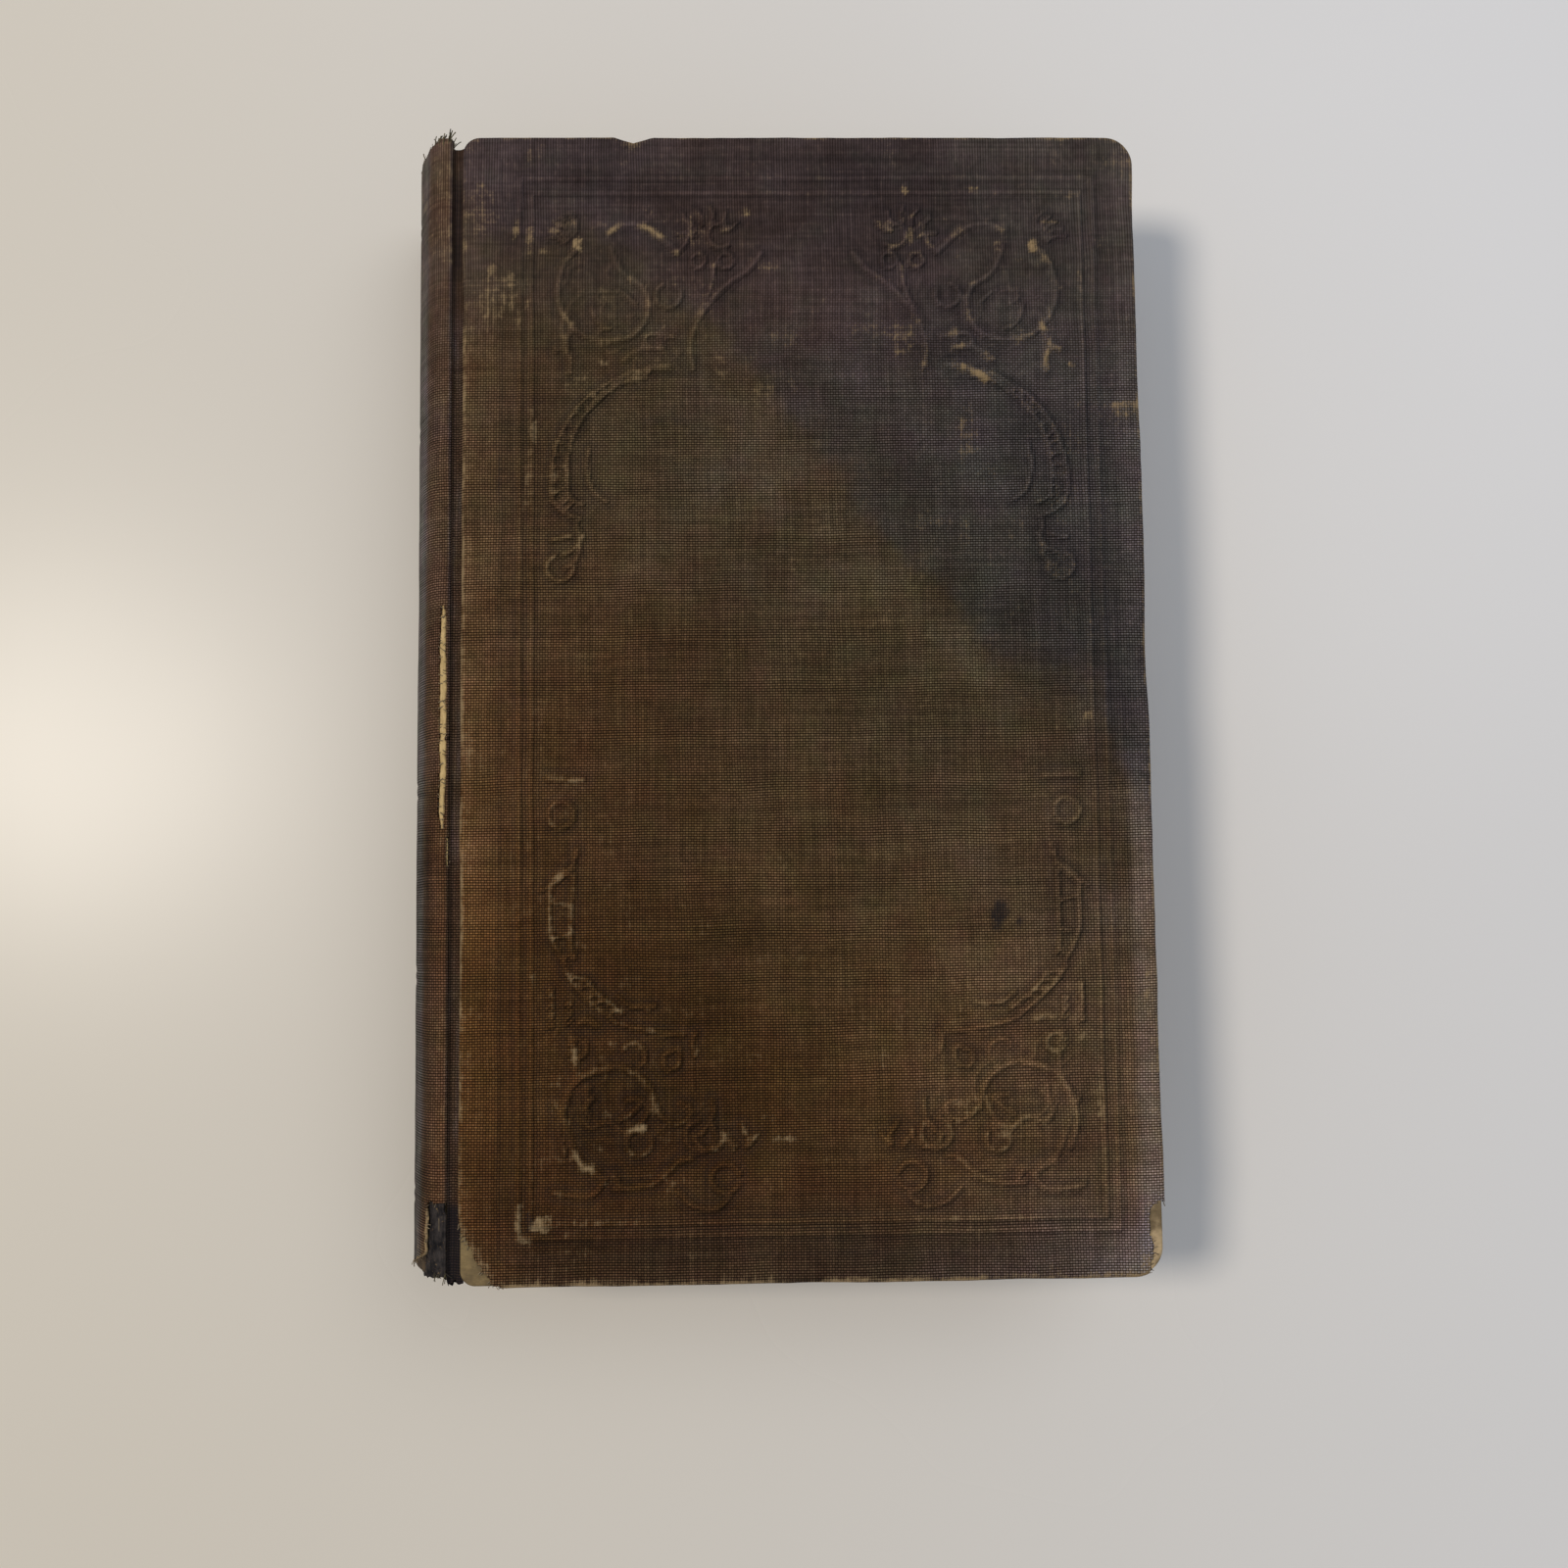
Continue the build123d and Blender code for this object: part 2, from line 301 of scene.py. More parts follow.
def curve_through(points: Sequence[Point], steps: int = 6) -> Array:
    """A smooth line through points.

    Args:
        points: The places it passes.
        steps: How many short runs lie between two places.

    Returns:
        Points along the line.
    """
    p = np.array(points, float)
    if len(p) < 3:
        return p
    ends = np.vstack([2 * p[0] - p[1], p, 2 * p[-1] - p[-2]])
    t = np.linspace(0, 1, steps, endpoint=False)[:, None]
    runs = [
        0.5 * (2 * b + (c - a) * t + (2 * a - 5 * b + 4 * c - d) * t**2 + (3 * b - a - 3 * c + d) * t**3)
        for a, b, c, d in zip(ends, ends[1:], ends[2:], ends[3:])
    ]
    return np.vstack([*runs, p[-1:]])


def distance_to(line: Array, u: Array, v: Array) -> tuple[Array, Array]:
    """How far places lie from a line of short runs.

    Args:
        line: Points along the line.
        u: First coordinates of the places.
        v: Second coordinates of the places.

    Returns:
        The distances, and how far along the line the nearest point is.
    """
    a, d = line[:-1], np.diff(line, axis=0)
    lengths = np.maximum(np.hypot(*d.T), 1e-9)
    pu, pv = u[:, None] - a[:, 0], v[:, None] - a[:, 1]
    t = np.clip((pu * d[:, 0] + pv * d[:, 1]) / lengths**2, 0, 1)
    gaps = np.hypot(pu - t * d[:, 0], pv - t * d[:, 1])
    nearest = gaps.argmin(1)
    rows = np.arange(len(u))
    before = np.concatenate([[0], np.cumsum(lengths)[:-1]])
    return gaps[rows, nearest], before[nearest] + t[rows, nearest] * lengths[nearest]


# --- Finishes --------------------------------------------------------------------------


class NodeWork:
    """A node tree while it is being put together."""

    tree: bpy.types.NodeTree

    def feed(self, socket: Socket, value: object) -> None:
        """Link a socket to another, or set it to a plain value; a colour gets its alpha here.

        Args:
            socket: What is fed.
            value: A socket, a number, a vector or a colour.
        """
        if isinstance(value, Socket):
            self.tree.links.new(value, socket)
        elif socket.type == "RGBA":
            socket.default_value = (*value, 1)
        else:
            socket.default_value = value

    def node(
        self, kind: str, inputs: dict[str | int, object], outlet: str | int = 0, **settings: object
    ) -> Socket:
        """Add a node.

        Args:
            kind: The node's type.
            inputs: What goes into its sockets.
            outlet: Which output to hand back.
            **settings: Its other properties.

        Returns:
            The chosen output.
        """
        made = self.tree.nodes.new(kind)
        for key, value in settings.items():
            setattr(made, key, value)
        for key, value in inputs.items():
            self.feed(made.inputs[key], value)
        return made.outputs[outlet]

    def sum(self, kind: str, a: object, b: object = 0.0, c: object = 0.0, clamp: bool = False) -> Socket:
        """One sum on plain numbers."""
        return self.node("ShaderNodeMath", {0: a, 1: b, 2: c}, operation=kind, use_clamp=clamp)

    def times(self, a: object, b: object, clamp: bool = False) -> Socket:
        """Two numbers multiplied."""
        return self.sum("MULTIPLY", a, b, clamp=clamp)

    def plus(self, a: object, b: object, clamp: bool = False) -> Socket:
        """Two numbers added."""
        return self.sum("ADD", a, b, clamp=clamp)

    def less(self, a: object, b: object) -> Socket:
        """One number less another."""
        return self.sum("SUBTRACT", a, b)

    def over(self, a: object, b: object) -> Socket:
        """One number divided by another."""
        return self.sum("DIVIDE", a, b)

    def scaled(self, a: object, gain: object, shift: object = 0.0, clamp: bool = False) -> Socket:
        """A number multiplied by a gain, with a shift added."""
        return self.sum("MULTIPLY_ADD", a, gain, shift, clamp)

    def joined(self, x: object = 0.0, y: object = 0.0, z: object = 0.0) -> Socket:
        """Three numbers as one vector."""
        return self.node("ShaderNodeCombineXYZ", {0: x, 1: y, 2: z})

    def parts(self, place: object) -> tuple[Socket, ...]:
        """A vector's three numbers."""
        x = self.node("ShaderNodeSeparateXYZ", {0: place})
        return tuple(x.node.outputs)

    def stretched(self, place: object, scale: object) -> Socket:
        """Places stretched along each axis."""
        return self.node("ShaderNodeVectorMath", {0: place, 1: scale}, operation="MULTIPLY")


class Bench(NodeWork):
    """A material's node tree while it is being put together."""

    def __init__(self, name: str) -> None:
        """Start a material with a plain shader.

        Args:
            name: The material's name.
        """
        self.material = bpy.data.materials.new(name)
        self.material.use_nodes = True
        self.tree = self.material.node_tree
        self.tree.nodes.clear()
        self.shader = self.tree.nodes.new("ShaderNodeBsdfPrincipled")
        out = self.tree.nodes.new("ShaderNodeOutputMaterial")
        self.tree.links.new(self.shader.outputs[0], out.inputs[0])

    def mix(self, share: object, a: object, b: object, blend: str = "MIX") -> Socket:
        """Mix two colours."""
        return self.node("ShaderNodeMix", {0: share, 6: a, 7: b}, 2, data_type="RGBA", blend_type=blend)

    def shaded(self, colour: object, light: Socket) -> Socket:
        """A colour multiplied by a lightness."""
        return self.mix(1.0, colour, self.joined(light, light, light), "MULTIPLY")

    def blend(self, share: object, a: object, b: object) -> Socket:
        """Mix two numbers."""
        return self.node("ShaderNodeMix", {0: share, 2: a, 3: b}, 0, data_type="FLOAT")

    def noise(self, place: object, scale: float, detail: float = 2.0, rough: float = 0.5) -> Socket:
        """Soft noise."""
        return self.node(
            "ShaderNodeTexNoise", {"Vector": place, "Scale": scale, "Detail": detail, "Roughness": rough}
        )

    def band(
        self, value: object, low: float, high: float, to_low: float = 0.0, to_high: float = 1.0
    ) -> Socket:
        """Carry a value from one range to another, smoothly and within its ends."""
        return self.node(
            "ShaderNodeMapRange", {0: value, 1: low, 2: high, 3: to_low, 4: to_high},
            interpolation_type="SMOOTHSTEP"
        )

    def held(self, name: str) -> Socket:
        """A number held at each corner of the mesh."""
        return self.node("ShaderNodeAttribute", {}, "Fac", attribute_name=name)

    def place(self) -> Socket:
        """Where the surface is, in metres."""
        return self.node("ShaderNodeTexCoord", {}, "Object")

    def finish(self, colour: object, height: object, depth_mm: float, rough: object, gloss: float) -> Finish:
        """Join everything to the shader.

        Args:
            colour: Base colour.
            height: Relief of 0 to 1.
            depth_mm: How deep that relief is.
            rough: Roughness.
            gloss: Specular level.

        Returns:
            The finished material.
        """
        self.feed(self.shader.inputs["Base Color"], colour)
        self.feed(self.shader.inputs["Roughness"], rough)
        self.shader.inputs["Specular IOR Level"].default_value = gloss
        bump = self.node("ShaderNodeBump", {"Height": height, "Distance": depth_mm * MM, "Strength": 1.0})
        self.feed(self.shader.inputs["Normal"], bump)
        return self.material


@dataclass(frozen=True)
class ClothFinish:
    """Plain-woven book cloth, stained, faded and rubbed where its mesh says so, with painted highlight on the
    thread crests and painted shade between them.
    """

    name: str
    rust: Colour = (0.066, 0.0300, 0.0082)
    umber: Colour = (0.058, 0.0370, 0.0195)
    slate: Colour = (0.056, 0.0470, 0.0430)
    plum_cast: Colour = (1.0, 0.84, 0.95)
    olive_cast: Colour = (0.89, 1.0, 0.87)
    # Tints for the painted highlight on the thread crests and the painted shade in the gaps.
    crest_cast: Colour = (0.95, 1.02, 1.10)
    gap_cast: Colour = (1.06, 0.97, 0.84)
    pale: Colour = (0.33, 0.225, 0.115)
    relief_gain: float = 2.4
    # Dark tone for dirt, and for painted shade in hollows and grooves.
    soot_and_shade: Colour = (0.010, 0.009, 0.011)
    warp_pitch: float = 0.45
    weft_pitch: float = 0.42
    depth: float = 0.09

    def build(self) -> Finish:
        """Make the material.

        Returns:
            The material.
        """
        b = Bench(self.name)
        cloth = b.node("ShaderNodeUVMap", {}, uv_map="cloth_mm")
        u, v, _ = b.parts(cloth)
        wander = b.times(b.less(b.noise(cloth, 0.07, 1.0), 0.5), 1.6)
        x = b.plus(b.over(u, self.warp_pitch), wander)
        y = b.less(b.over(v, self.weft_pitch), wander)
        column, row = b.sum("FLOOR", x), b.sum("FLOOR", y)
        over_x = b.sum("SINE", b.times(b.sum("FRACT", x), math.pi))
        over_y = b.sum("SINE", b.times(b.sum("FRACT", y), math.pi))
        turn = b.sum("MODULO", b.plus(b.plus(column, row), 2000.0), 2.0)
        warp = b.times(over_x, b.scaled(over_y, 0.45, 0.55))
        weft = b.times(over_y, b.scaled(over_x, 0.45, 0.55))
        ribbed = b.band(v, 146.0, 176.0, 0.1, 0.75)
        weft = b.times(weft, 0.68)
        height = b.blend(turn, b.blend(ribbed, weft, b.times(over_x, 0.8)), warp)
        # Painted light of the weave: the thread crests are made lighter and the gaps between them darker, and
        # this lightness multiplies the colour.
        weft_crest_light = b.times(b.times(over_y, over_y), b.scaled(over_x, 0.45, 0.55))
        warp_crest_light = b.times(b.times(over_x, over_y), 0.66)
        slub_and_crest_light = b.scaled(b.blend(turn, weft_crest_light, warp_crest_light), 3.6, 0.0)
        lit = b.blend(b.band(v, 138.0, 172.0, 0.0, 1.0), slub_and_crest_light, b.scaled(over_x, 1.0, 0.50))
        warp_tone = b.noise(b.joined(b.times(column, 3.7), b.times(y, 0.022)), 1.0, 2.0)
        weft_tone = b.noise(b.joined(b.times(x, 0.018), b.scaled(row, 3.7, 51.0)), 1.0, 2.0)
        tone = b.scaled(b.band(warp_tone, 0.28, 0.72), 0.5, b.times(b.band(weft_tone, 0.28, 0.72), 0.5))
        mottle = b.noise(cloth, 0.11, 5.0, 0.62)
        fleck = b.noise(b.stretched(cloth, (1.0, 0.8, 1.0)), 0.95, 3.0, 0.65)
        hue = b.plus(b.held("grey"), b.scaled(mottle, 0.42, -0.21), clamp=True)
        colour = b.mix(b.times(hue, 2.0, clamp=True), self.rust, self.umber)
        colour = b.mix(b.scaled(hue, 2.0, -1.0, clamp=True), colour, self.slate)
        cast = b.scaled(b.noise(cloth, 0.17, 3.0, 0.6), 1.6, -0.8)
        cast = b.plus(b.held("olive"), cast, clamp=True)
        colour = b.mix(1.0, colour, b.mix(cast, self.plum_cast, self.olive_cast), "MULTIPLY")
        # Painted highlight tint: the lit crests turn paler and cooler, the shaded gaps warmer.
        dust_and_sheen = b.mix(b.band(lit, 0.5, 2.4), self.gap_cast, self.crest_cast)
        colour = b.mix(1.0, colour, dust_and_sheen, "MULTIPLY")
        light = b.times(lit, b.scaled(tone, 0.60, 0.70))
        light = b.times(light, b.scaled(fleck, 1.1, 0.45))
        light = b.times(light, b.scaled(mottle, 0.8, 0.6))
        # The mesh's lightness: fading, and painted highlight and painted shade from the covers, spine and
        # grooves.
        light = b.times(light, b.held("fade_and_shading"))
        colour = b.shaded(colour, light)
        rub = b.held("rub")
        broken = b.plus(b.scaled(height, 0.42, -0.25), b.scaled(fleck, 1.3, -0.65))
        broken = b.plus(broken, b.scaled(tone, 0.4, -0.2))
        worn = b.times(b.band(b.plus(rub, broken), 0.12, 1.05), b.times(rub, 7.0, clamp=True))
        colour = b.mix(worn, colour, self.pale)
        # Darkens where the mesh holds dirt and painted shade, less on the thread tops.
        colour = b.mix(b.times(b.held("soil_and_shade"), b.scaled(height, -0.3, 1.0), clamp=True), colour, self.soot_and_shade)
        rough = b.band(tone, 0.0, 1.0, 0.88, 0.72)
        relief = b.scaled(b.held("press"), self.relief_gain / self.depth, height)
        return b.finish(colour, relief, self.depth, rough, gloss=0.09)


@dataclass(frozen=True)
class PaperFinish:
    """Old laid paper, toned towards its edges and spotted with foxing."""

    name: str
    low: Point
    high: Point
    colour: Colour = (0.56, 0.43, 0.26)
    toned: Colour = (0.30, 0.19, 0.09)
    foxing: Colour = (0.28, 0.14, 0.05)

    def build(self) -> Finish:
        """Make the material.

        Returns:
            The material.
        """
        b = Bench(self.name)
        place = b.place()
        x, y, _ = b.parts(place)
        near_x = b.sum("MINIMUM", b.less(x, self.low[0] * MM), b.less(self.high[0] * MM, x))
        near_y = b.sum("MINIMUM", b.less(y, self.low[1] * MM), b.less(self.high[1] * MM, y))
        stain = b.noise(place, 28.0, 5.0, 0.62)
        edge = b.plus(b.sum("MINIMUM", near_x, near_y), b.scaled(stain, 0.02, -0.01))
        toned = b.band(edge, -0.001, 0.014, 0.85, 0.08)
        colour = b.mix(toned, self.colour, self.toned)
        colour = b.mix(b.band(stain, 0.42, 0.72, 0.0, 0.35), colour, self.toned)
        spots = b.band(b.noise(place, 260.0, 2.0, 0.5), 0.66, 0.74, 0.0, 0.5)
        colour = b.mix(spots, colour, self.foxing)
        laid = b.noise(b.stretched(place, (1.0, 26.0, 1.0)), 45.0, 2.0)
        fibre = b.noise(place, 1400.0, 3.0, 0.7)
        grain = b.scaled(fibre, 0.6, b.times(laid, 0.4))
        shade = b.scaled(grain, 0.35, 0.82)
        colour = b.shaded(colour, shade)
        return b.finish(colour, grain, 0.05, b.band(stain, 0.3, 0.7, 0.9, 0.8), gloss=0.2)


@dataclass(frozen=True)
class LeafEdgeFinish:
    """Cut edges of many leaves, each of its own tone, dusty along the head."""

    name: str
    pale: Colour = (0.52, 0.40, 0.25)
    dark: Colour = (0.20, 0.125, 0.06)
    dust: Colour = (0.075, 0.060, 0.045)
    leaf_mm: float = 0.1
    own_tone: bool = False

    def build(self) -> Finish:
        """Make the material.

        Returns:
            The material.
        """
        b = Bench(self.name)
        place = b.place()
        x, y, z = b.parts(place)
        leaf = b.over(z, self.leaf_mm * MM)
        line = b.noise(b.joined(b.times(x, 9.0), b.times(y, 9.0), leaf), 1.0, 1.0)
        gather = b.noise(b.joined(b.times(x, 6.0), b.times(y, 6.0), b.over(leaf, 13.0)), 1.0, 2.0)
        tone = b.scaled(line, 0.55, b.times(gather, 0.45))
        if self.own_tone:
            tone = b.scaled(b.held("leaf_tone"), 0.45, b.times(tone, 0.62))
        colour = b.mix(b.band(tone, 0.25, 0.72), self.dark, self.pale)
        stain = b.noise(place, 36.0, 5.0, 0.6)
        colour = b.mix(b.band(stain, 0.45, 0.75, 0.0, 0.55), colour, self.dark)
        dust_and_sheen = b.times(b.band(y, 0.0905, 0.0917), b.band(stain, 0.2, 0.6, 0.35, 0.75))
        colour = b.mix(dust_and_sheen, colour, self.dust)
        return b.finish(colour, line, 0.06, b.band(stain, 0.3, 0.7, 0.92, 0.82), gloss=0.15)


@dataclass(frozen=True)
class BoardFinish:
    """Bare pasteboard, rubbed smooth, fibrous and grubby at the edge of its cloth."""

    name: str
    colour: Colour = (0.225, 0.156, 0.068)
    fore: Colour = (0.46, 0.330, 0.180)
    dirt_and_shade: Colour = (0.120, 0.080, 0.036)
    fibre_mm: float = 0.35

    def build(self) -> Finish:
        """Make the material.

        Returns:
            The material.
        """
        b = Bench(self.name)
        place = b.place()
        strands = b.noise(b.stretched(place, (0.35, 1.0, 2.2)), 1.0 / (self.fibre_mm * MM), 3.0, 0.65)
        pulp = b.noise(place, 900.0, 4.0, 0.7)
        grime_and_shade = b.noise(place, 210.0, 4.0, 0.6)
        x, _, _ = b.parts(place)
        colour = b.mix(b.band(x, -0.02, 0.04), self.colour, self.fore)
        colour = b.mix(b.band(grime_and_shade, 0.40, 0.68, 0.0, 0.9), colour, self.dirt_and_shade)
        shade = b.scaled(strands, 0.7, b.scaled(pulp, 0.6, 0.38))
        colour = b.shaded(colour, shade)
        return b.finish(
            colour, b.scaled(strands, 0.6, pulp), 0.12, b.band(grime_and_shade, 0.3, 0.7, 0.86, 0.66), gloss=0.25
        )


@dataclass(frozen=True)
class CardFinish:
    """Thin brown or blackened card and paper, torn along its fibres."""

    name: str
    light: Colour = (0.15, 0.095, 0.05)
    dark: Colour = (0.022, 0.020, 0.024)
    crumb: Colour = (0.15, 0.095, 0.05)
    patches_mm: float = 5.0

    def build(self) -> Finish:
        """Make the material.

        Returns:
            The material.
        """
        b = Bench(self.name)
        place = b.place()
        strands = b.noise(b.stretched(place, (2.6, 0.5, 2.6)), 900.0, 4.0, 0.7)
        patches = b.noise(place, 1.0 / (self.patches_mm * MM), 3.0, 0.55)
        colour = b.mix(
            b.band(b.scaled(strands, 0.5, b.times(patches, 0.5)), 0.34, 0.68), self.dark, self.light
        )
        crumbs = b.band(b.noise(place, 2400.0, 2.0), 0.62, 0.75, 0.0, 0.5)
        colour = b.mix(crumbs, colour, self.crumb)
        return b.finish(colour, strands, 0.2, b.band(patches, 0.3, 0.7, 0.95, 0.8), gloss=0.15)


@dataclass(frozen=True)
class MullFinish:
    """Coarse open backing cloth, stiff with old glue."""

    name: str
    thread: Colour = (0.42, 0.29, 0.15)
    glue: Colour = (0.16, 0.09, 0.04)
    pitch_mm: float = 0.9

    def build(self) -> Finish:
        """Make the material.

        Returns:
            The material.
        """
        b = Bench(self.name)
        place = b.place()
        x, y, z = b.parts(place)
        across = b.plus(x, z)
        step = self.pitch_mm * MM
        rows = b.sum("SINE", b.times(b.sum("FRACT", b.over(y, step)), math.pi))
        columns = b.sum("SINE", b.times(b.sum("FRACT", b.over(across, step)), math.pi))
        weave = b.sum("MAXIMUM", rows, columns)
        blotch = b.noise(place, 320.0, 4.0, 0.6)
        share = b.times(b.band(weave, 0.55, 0.9), b.band(blotch, 0.3, 0.6, 0.4, 1.0))
        colour = b.mix(share, self.glue, self.thread)
        fuzz = b.noise(place, 2600.0, 2.0)
        return b.finish(
            colour, b.scaled(fuzz, 0.4, weave), 0.12, b.band(blotch, 0.3, 0.7, 0.7, 0.95), gloss=0.2
        )


@dataclass(frozen=True)
class ThreadFinish:
    """Loose threads and fibres, each of its own tone."""

    name: str
    light: Colour
    dark: Colour

    def build(self) -> Finish:
        """Make the material.

        Returns:
            The material.
        """
        b = Bench(self.name)
        place = b.place()
        twist = b.noise(place, 3000.0, 2.0)
        colour = b.mix(b.held("thread_tone"), self.dark, self.light)
        shade = b.scaled(twist, 0.8, 0.6)
        colour = b.shaded(colour, shade)
        return b.finish(colour, twist, 0.03, b.band(twist, 0.3, 0.7, 0.95, 0.8), gloss=0.2)


@dataclass(frozen=True)
class CordFinish:
    """Twisted hemp sewing cord."""

    name: str
    colour: Colour = (0.46, 0.34, 0.19)
    lay_mm: float = 0.8

    def build(self) -> Finish:
        """Make the material.

        Returns:
            The material.
        """
        b = Bench(self.name)
        place = b.place()
        _, y, z = b.parts(place)
        along = b.over(b.plus(z, b.times(y, 0.9)), self.lay_mm * MM)
        strand = b.sum("ABSOLUTE", b.sum("SINE", b.times(along, math.pi)))
        fuzz = b.noise(place, 2200.0, 3.0, 0.6)
        shade = b.scaled(strand, 0.5, b.scaled(fuzz, 0.5, 0.25))
        colour = b.shaded(self.colour, shade)
        return b.finish(colour, strand, 0.12, b.band(fuzz, 0.3, 0.7, 0.95, 0.8), gloss=0.2)


@dataclass(frozen=True)
class TableFinish:
    """Pale painted table top with a soft gloss, and painted shade that makes it darker and warmer towards the
    left and the bottom.
    """

    name: str = "table_top"
    colour: Colour = (0.75, 0.675, 0.56)
    cool: Colour = (0.87, 0.845, 0.825)
    dull: Colour = (0.5, 0.5, 0.5)

    def build(self) -> Finish:
        """Make the material.

        Returns:
            The material.
        """
        b = Bench(self.name)
        cloudy = b.noise(b.place(), 5.0, 3.0)
        x, y, _ = b.parts(b.place())
        # Painted shade: darker and warmer towards the left and the bottom, lighter and cooler towards the
        # right and the top.
        across = b.band(b.scaled(y, 0.3, x), -0.2, 0.22)
        colour = b.mix(across, self.colour, self.cool)
        colour = b.mix(b.band(cloudy, 0.3, 0.7, 0.0, 0.05), colour, self.dull)
        return b.finish(colour, cloudy, 0.02, b.band(cloudy, 0.3, 0.7, 0.24, 0.28), gloss=0.20)


# --- Stamped ornament ------------------------------------------------------------------


@dataclass(frozen=True)
class Stroke:
    """One raised line of the ornament, given for the half nearer the joint and mirrored.

    Rubbed says how pale its top has worn: near the joint, then near the fore-edge.
    """

    points: tuple[Point, ...]
    rubbed: Point = (0.2, 0.2)
    width: float = 1.0


def arc(centre: Point, radius: float, start: float, end: float) -> tuple[Point, ...]:
    """Points round part of a circle.

    Args:
        centre: Its middle.
        radius: Its radius.
        start: First angle in degrees.
        end: Last angle in degrees.

    Returns:
        Eight points.
    """
    angles = np.radians(np.linspace(start, end, 8))
    return tuple((centre[0] + radius * math.cos(a), centre[1] + radius * math.sin(a)) for a in angles)


def swung(centre: Point, radius: float, degrees: float) -> Point:
    """The place at a distance and an angle from a centre."""
    turn = math.radians(degrees)
    return centre[0] + radius * math.cos(turn), centre[1] + radius * math.sin(turn)


def past_edges(u: Array, v: Array, edges: Edges) -> Array:
    """How far outside a rectangle each place lies, negative inside it."""
    left, right, tail, head = edges
    return np.maximum(np.maximum(left - u, u - right), np.maximum(tail - v, v - head))


def fan(
    centre: Point, inner: float, outer: float, start: float, end: float, count: int, rubbed: Point
) -> list[Stroke]:
    """Curved fingers spread from a point, as on a shell.

    Args:
        centre: Where they spring from.
        inner: Where each begins.
        outer: Where each ends.
        start: Angle of the first in degrees.
        end: Angle of the last in degrees.
        count: How many.
        rubbed: How pale they have worn on either half.

    Returns:
        The strokes.
    """
    made = []
    for a in np.linspace(start, end, count):
        way = [(inner, a + 8), ((inner + outer) / 2, a), (outer, a + 6)]
        made.append(Stroke(tuple(swung(centre, r, t) for r, t in way), rubbed, 0.7))
    return made


HEAD_STROKES = (
    (((19.6, 171.4), (17.3, 168.8), (16.2, 165.6), (16.1, 162.3), (17.0, 159.6), (18.6, 157.4)),
     (0.42, 0.45)),
    (((18.6, 157.4), (20.6, 155.9), (24, 155.2), (27.5, 155.6), (29.8, 157.3), (31.0, 159.8),
     (31.1, 162.5), (30, 164.8)), (0.25, 0.32)),
    (((30, 164.8), (27.6, 166.2), (26, 168.3), (24.9, 171.4)), (0.32, 0.12)),
    (((26, 163.8), (27.5, 163), (29, 161.5)), (0.3, 0.1), 0.8),
    (((21.8, 160.8), (22.3, 159), (23.3, 157.6), (24.6, 157.2)), (0.22, 0.2), 0.8),
    (((25.2, 163.5), (23.1, 163.8), (22.6, 162.2), (23.8, 161.4)), (0.06, 0.3), 0.8),
    (((24.7, 174), (26.5, 175.1), (29.5, 175.2), (32, 174.1), (34, 172.4), (36, 170.5)),
     (0.72, 0.3), 1.1),
    (((36, 170.3), (37.6, 172.2), (38.2, 174.8), (37.2, 176.8)), (0.12, 0.36), 0.8),
    (arc((43.4, 173.4), 2.1, 50, 310), (0.1, 0.34), 0.8),
    (((50.2, 170.3), (48, 167.4), (45, 165.4), (42.4, 162.8), (40.2, 159.8), (38.7, 156.8),
     (38.2, 153.5), (38.6, 150.4)), (0.16, 0.36)),
    (((42.3, 168.5), (41.9, 165.6), (41.3, 163.3), (39.9, 160.4)), (0.26, 0.2), 0.8),
    (arc((44.2, 169), 1.3, 0, 340), (0.04, 0.28), 0.7),
    (arc((39.6, 169), 1.2, 0, 340), (0.06, 0.3), 0.7),
    (arc((34.5, 163), 2.1, 110, 380), (0.12, 0.18), 0.8),
    (arc((31.9, 154.9), 1.5, -60, 240), (0.34, 0.08), 0.8),
    (((35.2, 155.8), (33, 156.4)), (0.06, 0.42)),
    (((33.5, 153.8), (31, 154), (28.8, 153.2), (27, 151.8)), (0.06, 0.45), 1.1),
    (((34.6, 150.8), (31.5, 150.4), (29.5, 149.3), (28.2, 148.3)), (0.2, 0.9), 1.2),
    (((25.5, 147.5), (27.5, 149.2), (31.2, 149.8)), (0.28, 0.05), 0.8),
    (((18.7, 158), (17.7, 156), (17.4, 154), (18.1, 152), (18, 149.8)), (0.12, 0.72)),
    (((17.5, 154), (15.6, 153.6)), (0.04, 0.75)),
    (((20.3, 121.9), (18.6, 119.6), (17, 118.8)), (0.35, 0.15), 0.8),
    (((15.2, 121.3), (18.1, 121.9)), (0.3, 0.1), 0.8),
    (arc((16.4, 116.6), 2.2, 110, 380), (0.34, 0.28), 0.8),
    (((19.2, 124), (19.6, 120), (18.7, 117.5), (17.2, 116.5)), (0.1, 0.26), 0.8),
    (((21.3, 136.8), (20.8, 133.7), (21.8, 129.6), (24, 127.7)), (0.14, 0.08), 0.8),
)
